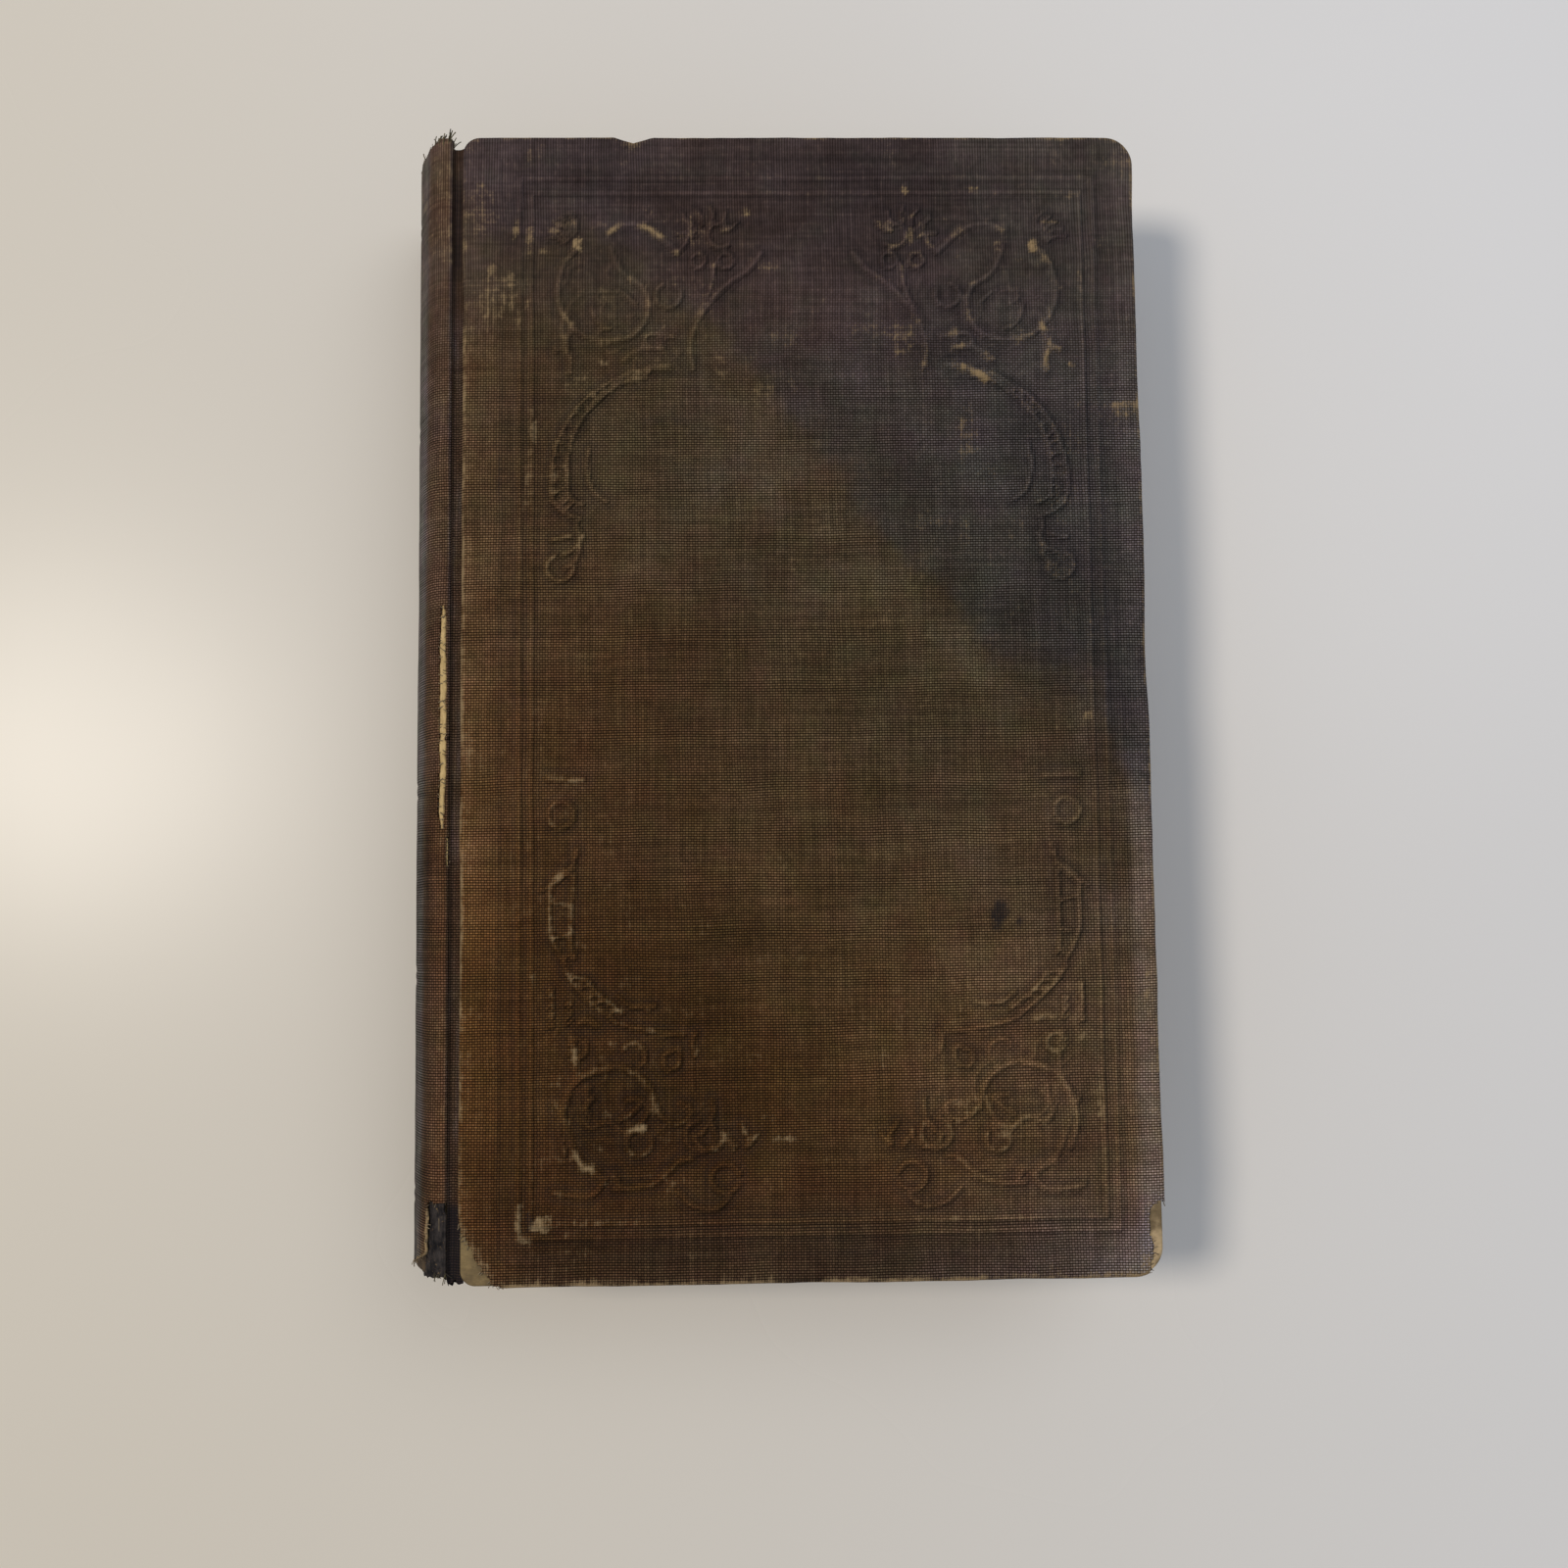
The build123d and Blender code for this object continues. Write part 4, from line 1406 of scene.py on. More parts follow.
    def rings(self) -> list[tuple[float, float, float]]:
        """Rings round the board: how far out and down each is, and how much cloth reaches it.

        Returns:
            Three lengths for each ring.
        """
        e, depth = self.edge_round, self.depth
        made = [(e * math.sin(t), e * (1 - math.cos(t)), e * t) for t in np.radians([25, 50, 75, 90])]
        made += [(e, 0.45 * depth, 1.2 + 0.1 * depth), (e, depth - 0.3, 0.5 + depth)]
        made += [(e - 0.12, depth - 0.06, 0.8 + depth), (e - 0.5, depth, 1.2 + depth)]
        return [*made, (e - 2.4, depth, 3.1 + depth), (e - self.turn_in_shown, depth, 5.7 + depth)]

    def ring_table(self, base: Array, normal: Array, out: float, drop: float, run: float) -> Array:
        """Corners of one ring.

        Args:
            base: Places of the outline.
            normal: Which way is outwards at each.
            out: How far out the ring is.
            drop: How far down it is.
            run: How much cloth reaches it.

        Returns:
            Rows of u, v, run, drop, x and y.
        """
        ring = base + normal * run
        bulge = 0.10 * cloud(ring[:, 0], ring[:, 1], 9, 31, 3) if run < self.depth else 0.0
        spot = base + normal * min(out, self.edge_round) + (normal.T * bulge).T
        if out < 0:
            spot = base + normal * self.edge_round
            spot[:, 0] = np.clip(spot[:, 0], 0.35, self.wide + out - self.edge_round)
            spot[:, 1] = np.clip(spot[:, 1], self.edge_round - out, self.tall + out - self.edge_round)
        flat = np.ones(len(base))
        return np.stack([*ring.T, flat * run, flat * drop, *spot.T])

    def wear_through(
        self, lost: Array, points: Array, quads: Array, cloth: Array, out: Array, fields: dict[str, Array]
    ) -> tuple[Array, Array, Array, dict[str, Array]]:
        """Take away the lost faces, and give the edges of the holes the cloth's thickness.

        Args:
            lost: True for each face that goes.
            points: Corner positions.
            quads: Corner numbers of each face.
            cloth: Cloth coordinates of each corner.
            out: How far past the flat face each corner is.
            fields: Colour fields of the corners.

        Returns:
            The new positions, faces, cloth coordinates and fields.
        """
        kept, cut = quads[~lost], quads[lost]
        edges = open_edges(kept, cut)
        names = {a: len(points) + k for k, a in enumerate(sorted(set(edges.ravel())))}
        tops = np.array(list(names), int)
        under = points[tops].copy()
        under[:, 2] -= np.where(out[tops] < 0.6, self.cloth * 0.9, 0.1)
        centre = np.array([self.low[0] + self.wide / 2, self.low[1] + self.tall / 2])
        under[:, :2] += np.sign(centre - under[:, :2]) * np.where(out[tops] > 0.6, 0.35, 0.0)[:, None]
        self.rim = points[tops]
        self.rim_aim = np.column_stack([*uphill(self.gone, *cloth[tops].T), np.full(len(tops), -0.15)])
        skirt = np.array([(b, a, names[a], names[b]) for a, b in edges])
        every = np.concatenate([np.arange(len(points)), tops])
        fields = {key: part[every] for key, part in fields.items()}
        return np.vstack([points, under]), np.vstack([kept, skirt]), cloth[every], fields

    def build(self, finish: Finish) -> Piece:
        """Make the cloth and set it on its board.

        Args:
            finish: Its material.

        Returns:
            The piece, riding on its cover.
        """
        front = self.side is Side.FRONT
        u, v = self.face_grid()
        columns, rows = u.shape
        if front:
            hole = self.gone(u, v)
            inner = np.zeros(u.shape, bool)
            inner[2:-2, 2:-2] = True
            snapped = snap_to_edge(u, v, hole, self.cell * SNAP_SHARE)
            u, v, hole = (np.where(inner, new, old) for new, old in zip(snapped, (u, v, hole)))
        loop = self.outline(columns, rows)
        face = np.stack([u.ravel(), v.ravel()])
        base = face.T[loop]
        along = np.roll(base, -1, 0) - np.roll(base, 1, 0)
        normal = np.column_stack([along[:, 1], -along[:, 0]]) / np.hypot(*along.T)[:, None]
        rings = self.rings()
        tables = [np.vstack([face, np.zeros_like(face), face])]
        tables += [self.ring_table(base, normal, *ring) for ring in rings]
        u, v, out, drop, x, y = np.hstack(tables)
        fields = self.stains(u, v, out)
        relief, rub, dirt_and_shade = self.panel.lay(u, v)
        # Painted highlight on the raised tops of the ornament and painted shade in its pressed hollows:
        # lightness follows the relief.
        fields["fade_and_shading"] = fields["fade_and_shading"] * (1 + 0.42 * np.clip(relief / self.panel.height, -0.3, 1))
        fields["rub"] = np.clip(np.maximum(fields["rub"], rub if front else 0.5 * rub), 0, 1.2)
        # Dirt and painted shade beside the raised lines, kept off rubbed tops.
        fields["soil_and_shade"] = np.maximum(fields["soil_and_shade"], dirt_and_shade * np.clip(1 - fields["rub"] / 0.3, 0, 1))
        relief = np.where(out > 0, 0.0, relief + self.pressed_slack(u, v))
        relief = relief * smooth((self.from_edge(u, v) - self.edge_round) / 1.5)
        fields["press"] = relief.copy()
        relief -= self.sunk * smooth((self.depth - drop) / self.depth)
        z = self.high[2] - drop + relief if front else self.low[2] + drop - relief
        points = np.column_stack([self.low[0] + x, self.low[1] + y, z])
        count, around = face.shape[1], len(loop)
        starts = [loop] + [count + k * around + np.arange(around) for k in range(len(rings))]
        at_joint = (base[:, 0] < self.edge_round + 0.01) & (base[:, 1] > 4) & (base[:, 1] < self.tall - 4)
        quads = grid_faces(columns, rows)
        for k, (upper, lower) in enumerate(zip(starts, starts[1:])):
            strip = np.stack([upper, lower, np.roll(lower, -1), np.roll(upper, -1)], 1)
            if k >= self.turned_under:
                strip = strip[~(at_joint & np.roll(at_joint, -1))]
            quads = np.vstack([quads, strip])
        if not front:
            quads = quads[:, ::-1]
        cloth = np.column_stack([u, v])
        if front:
            away = np.concatenate([hole.ravel(), self.gone(u[count:], v[count:])])
            lost = (away[quads].mean(1) > 0) & (out[quads].max(1) < self.depth + 0.6)
            points, quads, cloth, fields = self.wear_through(lost, points, quads, cloth, out, fields)
        used, faces = in_use(len(points), quads)
        fields = {key: part[used] for key, part in fields.items()}
        piece = make_piece(f"{self.side.value}_cover_cloth", points[used], faces, finish, cloth[used], fields)
        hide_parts(f"{self.side.value}_cloth")
        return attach(piece, f"{self.side.value}_cover")

    def pressed_slack(self, u: Array, v: Array) -> Array:
        """Slight rise and fall of cloth and board after long use."""
        return 0.04 * cloud(u, v, 26, 51, 3) + 0.012 * cloud(u, v, 3, 52, 3)


# --- Spine and joints ------------------------------------------------------------------


@dataclass
class Spine:
    """The round back of the case: cloth with thickness, split at the joint and torn at the tail."""

    radius: float = 24.07
    shoulder_round: float = 3.97
    groove_round: float = 0.55
    wall: float = 1.3
    wall_x: float = -53.8
    cell: float = 0.42
    thickness: float = 0.4

    def __post_init__(self) -> None:
        """Read its place from the frame."""
        self.low, self.high = node_box("spine_cloth")
        self.middle = (self.low[2] + self.high[2]) / 2
        self.half = (self.high[2] - self.low[2]) / 2
        self.axis = self.low[0] + self.radius
        self.rim, self.rim_aim = np.zeros((0, 3)), np.zeros((0, 3))
        self.path = self.section()
        steps = np.hypot(*np.diff(self.path, axis=0).T)
        self.run = np.concatenate([[0], np.cumsum(steps)])

    def section(self) -> Array:
        """Outer line from the front groove round to the back one, as x and z.

        Returns:
            Points along the line.
        """
        g, r, half = self.groove_round, self.shoulder_round, self.half
        wall = [(self.wall_x, half - self.wall), (self.wall_x, half - g)]
        edge = [
            (self.wall_x - g + g * math.cos(t), half - g + g * math.sin(t))
            for t in np.linspace(0, math.pi / 2, 6)
        ]
        centre = self.axis - math.sqrt((self.radius - r) ** 2 - (half - r) ** 2)
        lean = math.atan2(half - r, centre - self.axis)
        shoulder = [
            (centre + r * math.cos(t), half - r + r * math.sin(t)) for t in np.linspace(math.pi / 2, lean, 12)
        ]
        crown = [
            (self.axis + self.radius * math.cos(t), self.radius * math.sin(t))
            for t in np.linspace(lean, math.pi, 30)[1:]
        ]
        upper = np.array([*wall, *edge[1:], *shoulder, *crown])
        lower = upper[::-1][1:] * (1, -1)
        return np.vstack([upper, lower]) + (0, self.middle)

    def at(self, t: Array, y: Array, inset: Array | float = 0.0) -> Array:
        """Places on the spine.

        Args:
            t: How far round from the front groove.
            y: Height along the spine.
            inset: How far below the outer surface.

        Returns:
            Positions in millimetres.
        """
        x, z = np.interp(t, self.run, self.path[:, 0]), np.interp(t, self.run, self.path[:, 1])
        dx = np.interp(t + 0.1, self.run, self.path[:, 0]) - np.interp(t - 0.1, self.run, self.path[:, 0])
        dz = np.interp(t + 0.1, self.run, self.path[:, 1]) - np.interp(t - 0.1, self.run, self.path[:, 1])
        size = np.maximum(np.hypot(dx, dz), 1e-9)
        nx, nz = dz / size, -dx / size
        return np.stack([x + nx * inset * -1, y + 0 * t, z + nz * inset * -1], -1)

    def gone(self, t: Array, y: Array) -> Array:
        """How far inside the split, the tear or the lost ends each place lies.

        Args:
            t: How far round it.
            y: Height along the spine.

        Returns:
            Depths, negative on the cloth.
        """
        ragged = 0.22 * cloud(t, y, 1.3, 61, 3)
        sway = 0.16 * cloud(y, y * 0, 6, 62, 3)
        split = 0.70 * np.clip(1 - np.abs((y + 3.5) / 21.0) ** 5, 0, 1) - np.abs(t - 2.30 - sway)
        split = np.where(
            np.abs(y + 3.5) < 21.0, split + ragged * 0.6, -np.hypot(t - 2.3, np.abs(y + 3.5) - 21.0)
        )
        second = 0.42 - np.hypot(t - 1.15, np.maximum(np.abs(y + 25.6) - 2.0, 0) * 0.7) + ragged * 0.6
        tear_edge = 5.0 + 0.6 * cloud(y, y * 0, 4, 63, 3) + 13 * smooth((-89.0 - y) / 5.2) ** 1.4
        tear = np.minimum(tear_edge - t, -82.2 + 0.5 * cloud(t, t * 0, 2, 64, 3) - y)
        tail = self.low[1] + 0.35 + 0.5 * cloud(t, y * 0, 3, 65, 3) - y
        dip = 0.9 * smooth((t - 3) / 5) * smooth((self.run[-1] - 3 - t) / 5)
        head = y - (self.high[1] - 0.5 - dip + 0.6 * cloud(t, y * 0, 2.4, 66, 3))
        return np.maximum.reduce([split, second, tear, tail, head])

    def stains(self, t: Array, y: Array) -> dict[str, Array]:
        """Colour fields of the spine cloth.

        Args:
            t: How far round it.
            y: Height along the spine.

        Returns:
            Named fields, with one value for each place.
        """
        broad, fine = cloud(t, y, 30, 71, 4), cloud(t, y * 0.7, 4, 72, 4)
        total = self.run[-1]
        ridge = smooth((4.5 - t) / 4) + smooth((4.5 - (total - t)) / 4)
        # Painted reflection: the round back is made greyer, more olive and lighter, for a sheen at a grazing
        # angle.
        round_back = smooth((t - 5.6) / 3.4) * smooth((total - 5.6 - t) / 3.4)
        # Painted shade: the cloth beside each groove is made darker and greyer.
        by_joint = smooth((1.9 - t) / 0.8) + smooth((1.9 - (total - t)) / 0.8)
        grey = 0.30 + 0.0016 * (y + 94) + 0.16 * broad - 0.12 * ridge + 0.75 * round_back + 0.35 * by_joint
        fade_and_shading = 1.20 + 0.2 * broad + 0.26 * fine + 0.25 * ridge + 0.50 * round_back - 0.42 * by_joint
        fade_and_shading += 0.12 * smooth((y - 58) / 24)
        fade_and_shading -= 0.45 * smooth((y + 12) / -14) * smooth((t - 3.4) / 2.5)
        rub = 0.16 * ridge * np.clip(0.3 + 1.5 * cloud(t, y * 0.8, 3, 73, 4), 0, 1.3)
        ends = smooth((y - 62) / 22) * 0.22 * np.clip(0.5 + 1.3 * fine, 0, 1.4)
        ends += 0.2 * smooth((-84 - y) / 6) * np.clip(0.7 + 1.3 * fine, 0, 1.5)
        rub += ends + 0.10 * np.clip(cloud(t, y, 6, 74, 4), 0, 1)
        torn = smooth((-82.6 - y) / 1.2)
        near = hump(self.gone(t, y), 0, 0.42)
        rub = np.maximum(rub, (0.16 + 1.0 * torn) * near * np.clip(0.85 + fine, 0.2, 1.3))
        # Painted shade on the walls of the grooves.
        soil_and_shade = 0.15 * smooth((1.0 - t) / 0.9) + 0.15 * smooth((1.0 - (total - t)) / 0.9)
        return {
            "grey": np.clip(grey, 0, 1),
            # More olive on the round back, part of its painted reflection.
            "olive": 0.15 + 0.45 * round_back,
            "fade_and_shading": np.clip(fade_and_shading, 0.4, 1.7),
            "rub": np.clip(rub, 0, 1.1),
            "soil_and_shade": soil_and_shade,
            "press": self.relief(t, y),
        }

    def relief(self, t: Array, y: Array) -> Array:
        """Creases along the spine, and pairs of blind-stamped lines across it.

        Args:
            t: How far round it.
            y: Height along the spine.

        Returns:
            Heights in millimetres.
        """
        total = self.run[-1]
        back = smooth((t - 4) / 3) * smooth((total - 4 - t) / 3)
        creases = 0.05 * cloud(t, y * 0.2, 3.2, 81, 3) + 0.05 * cloud(t, y, 9, 82, 3)
        lines = sum(hump(y, place, 0.45) for place in (84, 82, 48, 46, -14, -16, -45, -47, -81, -83))
        return back * (creases - 0.14 * lines)

    def build(self, finish: Finish) -> Piece:
        """Make the spine cloth.

        Args:
            finish: Its material.

        Returns:
            The piece, riding on the block of leaves.
        """
        total = self.run[-1]
        ts = np.linspace(0, total, round(total / self.cell) + 1)
        ys = np.linspace(self.low[1], self.high[1], round((self.high[1] - self.low[1]) / 0.52) + 1)
        t, y = np.meshgrid(ts, ys, indexing="ij")
        hole = self.gone(t, y)
        t2, y2, hole = snap_to_edge(t, y, hole, self.cell * SNAP_SHARE)
        t2[[0, -1]] = t[[0, -1]]
        t, y = t2, y2
        points = self.at(t.ravel(), y.ravel(), -self.relief(t, y).ravel())
        quads = grid_faces(*t.shape, flip=True)
        lost = hole.ravel()[quads].mean(1) > 0
        kept, cut = quads[~lost], quads[lost]
        tops = np.unique(open_edges(kept, cut))
        flat_t, flat_y = t.ravel(), y.ravel()
        way_t, way_y = uphill(self.gone, flat_t[tops], flat_y[tops])
        ahead = self.at(flat_t[tops] + way_t * 0.3, flat_y[tops] + way_y * 0.3)
        self.rim, self.rim_aim = points[tops], (ahead - self.at(flat_t[tops], flat_y[tops])) / 0.3
        used, faces = in_use(len(points), kept)
        fields = {k: part.ravel()[used] for k, part in self.stains(t, y).items()}
        uv = np.column_stack([-flat_t, flat_y + CLOTH_TAIL])[used]
        piece = make_piece("spine_cover_cloth", points[used], faces, finish, uv, fields)
        shell = piece.modifiers.new("thickness", "SOLIDIFY")
        shell.thickness = self.thickness * MM
        shell.offset = -1.0
        shell.use_even_offset = False
        keep_plain(piece)
        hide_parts("spine_cloth")
        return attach(piece, "text_block")

    def under_layer(self, finish: Finish) -> Piece:
        """Torn brown-black paper that shows where the tail of the cloth has gone.

        Args:
            finish: Its material.

        Returns:
            The piece, riding on the block of leaves.
        """
        t, y = np.meshgrid(np.linspace(0.0, 20, 92), np.linspace(self.low[1] - 0.8, -77, 72), indexing="ij")
        edge = self.low[1] - 0.3 + 0.5 * cloud(t, t * 0, 2.0, 91, 3) + 0.9 * smooth((t - 5) / 8)
        left = 0.2 + 0.3 * cloud(y, y * 0, 2.2, 92, 3)
        gone = np.maximum(edge - y, left - t)
        t2, y2, gone = snap_to_edge(t, y, gone, 0.16)
        crumple = 0.22 * cloud(t2, y2 * 0.6, 3.0, 93, 4) + 0.10 * cloud(t2, y2, 0.9, 98, 2)
        inset = self.thickness + 0.28 + crumple
        inset -= (inset - 0.05) * smooth((1.7 - t2) / 1.4) * smooth((-83 - y2) / 1.0)
        points = self.at(t2.ravel(), y2.ravel(), inset.ravel())
        quads = grid_faces(*t.shape, flip=True)
        kept = quads[gone.ravel()[quads].mean(1) <= 0]
        used, faces = in_use(len(points), kept)
        piece = make_piece("spine_torn_layer", points[used], faces, finish)
        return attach(piece, "text_block")

    def split_paper(self, finish: Finish) -> Piece:
        """Torn cream paper that shows in the split beside the joint.

        Args:
            finish: Its material.

        Returns:
            The piece, riding on the block of leaves.
        """
        t, y = np.meshgrid(np.linspace(0.75, 3.6, 24), np.linspace(-29.0, 18.6, 238), indexing="ij")
        open_here = smooth(self.gone(t, y) / 0.3)
        fibres = 0.035 * open_here * cloud(t * 1.5, y * 0.4, 1.2, 94, 3)
        inset = self.thickness + 0.07 - 0.27 * open_here + fibres
        points = self.at(t.ravel(), y.ravel(), inset.ravel())
        piece = make_piece("spine_split_paper", points, grid_faces(*t.shape, flip=True), finish)
        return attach(piece, "text_block")

    def loose_ends(self, around: Point, y: float, count: int, way: float) -> tuple[Array, Array]:
        """Where loose threads start at the head or tail of the joint.

        Args:
            around: First and last place round the spine.
            y: Height along the spine.
            count: How many places.
            way: 1 to point past the head, -1 past the tail.

        Returns:
            The places and the way that each thread points.
        """
        t = np.linspace(*around, count)
        spots = self.at(t, y + 0.3 * cloud(t, t * 0, 0.7, 99, 2), 0.2)
        return spots, np.tile((0.0, way, 0.1), (count, 1))


@dataclass
class Joint:
    """Cloth and paper that cross from the spine to one cover, in its joint."""

    side: Side
    tear_top: float = -82.3
    rows: int = 340

    def __post_init__(self) -> None:
        """Read its place from the frame."""
        self.low, self.high = node_box(f"{self.side.value}_cloth")
        fly_low, fly_high = node_box(f"{self.side.value}_flyleaf")
        self.front = self.side is Side.FRONT
        self.top = self.high[2] if self.front else self.low[2]
        self.sign = 1 if self.front else -1
        self.fly = abs(self.top - (fly_high[2] if self.front else fly_low[2]))
        self.cover_body = f"{self.side.value}_cover"

    def ribbon(
        self, name: str, line: Sequence[Point], thick: float, tail: float, head: float, finish: Finish,
        ragged: float
    ) -> Piece:
        """A closed strip along the joint.

        Args:
            name: The piece's name.
            line: Its section, as x and depth below the cover's face.
            thick: Its thickness.
            tail: Lower end.
            head: Upper end.
            finish: Its material.
            ragged: How uneven its tail end is.

        Returns:
            The piece.
        """
        path = curve_through(line, 3)
        along = np.gradient(path, axis=0)
        normal = np.column_stack([along[:, 1], -along[:, 0]]) / np.hypot(*along.T)[:, None]
        loop = np.vstack([path, (path + normal * thick)[::-1]])
        n = len(loop)
        ys = np.linspace(0, 1, self.rows)
        start = tail + ragged * cloud(np.arange(n) * 0.7, np.zeros(n), 3, 95, 2)
        y = start[:, None] + (head - start)[:, None] * ys
        wave = 0.05 * cloud(y, y * 0, 11, 96, 3)
        x = loop[:, :1] + 0 * y
        z = self.top - self.sign * (loop[:, 1:] + wave)
        points = np.stack([x, y, z], -1).reshape(-1, 3)
        quads = []
        for i in range(n):
            a, b = i * self.rows, (i + 1) % n * self.rows
            j = np.arange(self.rows - 1)
            quads.append(np.stack([a + j, b + j, b + j + 1, a + j + 1], 1))
        quads = np.vstack(quads).tolist()
        tails = [i * self.rows for i in range(n)]
        quads += [tails[::-1], [i + self.rows - 1 for i in tails]]
        if self.front:
            quads = [q[::-1] for q in quads]
        run = np.concatenate([[0], np.cumsum(np.hypot(*np.diff(loop, axis=0).T))])
        uv = np.stack([run[:, None] + 0 * y - 2, y + CLOTH_TAIL], -1).reshape(-1, 2)
        low = np.clip((loop[:, 1:] - 0.5) / 0.9, 0, 1) + 0 * y
        fine = cloud(x * 2, y * 0.4, 4, 97, 3)
        fields = {
            "grey": (0.46 + 0.25 * fine + 0.2 * smooth((y - 20) / 70)).ravel(),
            "olive": (0.15 + 0 * y).ravel(),
            "press": (0 * y).ravel(),
            # Painted shade: darker the deeper in the groove.
            "fade_and_shading": (0.88 - 0.12 * low + 0.25 * fine).ravel(),
            "rub": np.clip(0.14 * (1 - low) + 0.10 * fine, 0, 1).ravel(),
            "soil_and_shade": self.grime_and_shade(y, low).ravel(),
        }
        return make_piece(name, points, quads, finish, uv, fields)

    def grime_and_shade(self, y: Array, low: Array) -> Array:
        """How dark the groove is made: painted shade deeper in it and where the joint gapes, and black
        painted shade where the cloth is torn.

        Args:
            y: Height along the joint.
            low: How deep in the groove each place is.

        Returns:
            Values of 0 to 1.
        """
        # Painted shade in the groove, deeper where it gapes, black at the tear.
        dirt_and_shade = 0.10 * low
        if self.front:
            gaping = 0.75 * smooth((y - 69) / 5) * smooth((90 - y) / 3) * low
            dirt_and_shade = dirt_and_shade + gaping + smooth((self.tear_top + 1 - y) / 2)
        return np.clip(dirt_and_shade, 0, 1)

    def cloth(self, finish: Finish) -> Piece:
        """The cloth in the outer groove.

        Args:
            finish: Its material.

        Returns:
            The piece, lying in the groove between spine and cover.
        """
        line = (
            (-53.77, 0.95), (-53.72, 1.2), (-53.5, 1.42), (-52.9, 1.5), (-52.3, 1.4), (-52.05, 1.2),
            (-51.7, 1.0), (-51.1, 1.0)
        )
        tail = self.low[1] + (1.0 if self.front else 1.8)
        piece = self.ribbon(
            f"{self.side.value}_joint_cloth", line, 0.3, tail, self.high[1] - 1.9, finish, 0.6
        )
        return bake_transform(piece)

    def paper(self, finish: Finish) -> Piece:
        """The paper in the inner joint, from the flyleaf to the pastedown.

        Args:
            finish: Its material.

        Returns:
            The piece, lying in the inner joint between block and cover.
        """
        f = self.fly
        line = (
            (-52.8, f - 0.05), (-53.3, f - 0.12), (-53.6, f - 0.5), (-53.3, f - 0.76), (-52.7, f - 0.84),
            (-52.25, f - 0.78), (-52.0, f - 0.5), (-51.9, f - 0.25), (-51.5, f - 0.13), (-50.8, f - 0.13)
        )
        piece = self.ribbon(f"{self.side.value}_joint_paper", line, -0.07, -91.2, 91.2, finish, 0.2)
        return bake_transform(piece)


# --- Geometry trees --------------------------------------------------------------------


class GeometryTree(NodeWork):
    """A Geometry Nodes tree with named inputs, built a node at a time."""

    def __init__(self, name: str, sizes: dict[str, int | float]) -> None:
        """Start the tree.

        Args:
            name: Its name.
            sizes: Each input's name and value.
        """
        self.tree = bpy.data.node_groups.new(name, "GeometryNodeTree")
        self.tree.interface.new_socket("Geometry", in_out="INPUT", socket_type="NodeSocketGeometry")
        self.tree.interface.new_socket("Geometry", in_out="OUTPUT", socket_type="NodeSocketGeometry")
        self.values = {}
        for key, value in sizes.items():
            kind = "NodeSocketInt" if isinstance(value, int) else "NodeSocketFloat"
            socket = self.tree.interface.new_socket(key, in_out="INPUT", socket_type=kind)
            self.values[socket.identifier] = value
        self.source = self.tree.nodes.new("NodeGroupInput")
        self.sink = self.tree.nodes.new("NodeGroupOutput")

    def size(self, name: str) -> Socket:
        """One of the tree's named inputs."""
        return self.source.outputs[name]

    def random(self, low: float, high: float, seed: object) -> Socket:
        """A random number for each copy or point."""
        return self.node("FunctionNodeRandomValue", {2: low, 3: high, "Seed": seed}, 1, data_type="FLOAT")

    def held(self, name: str, kind: str = "FLOAT") -> Socket:
        """A value held on the mesh."""
        return self.node("GeometryNodeInputNamedAttribute", {"Name": name}, 0, data_type=kind)

    def hold(self, copies: Socket, name: str, value: Socket) -> Socket:
        """Hold a number on each copy."""
        inputs = {"Geometry": copies, "Name": name, "Value": value}
        return self.node("GeometryNodeStoreNamedAttribute", inputs, data_type="FLOAT", domain="INSTANCE")

    def run(self, piece: Piece, geometry: Socket, finish: Finish) -> Piece:
        """End the tree, run it on a piece and keep the result as a plain mesh.

        Args:
            piece: The object that it starts from.
            geometry: The last geometry.
            finish: Its material.

        Returns:
            The same object.
        """
        real = self.node("GeometryNodeRealizeInstances", {"Geometry": geometry})
        done = self.node("GeometryNodeSetMaterial", {"Geometry": real, "Material": finish})
        self.tree.links.new(done, self.sink.inputs[0])
        modifier = piece.modifiers.new("build", "NODES")
        modifier.node_group = self.tree
        for key, value in self.values.items():
            modifier[key] = value
        bpy.context.view_layer.update()
        keep_plain(piece)
        return piece


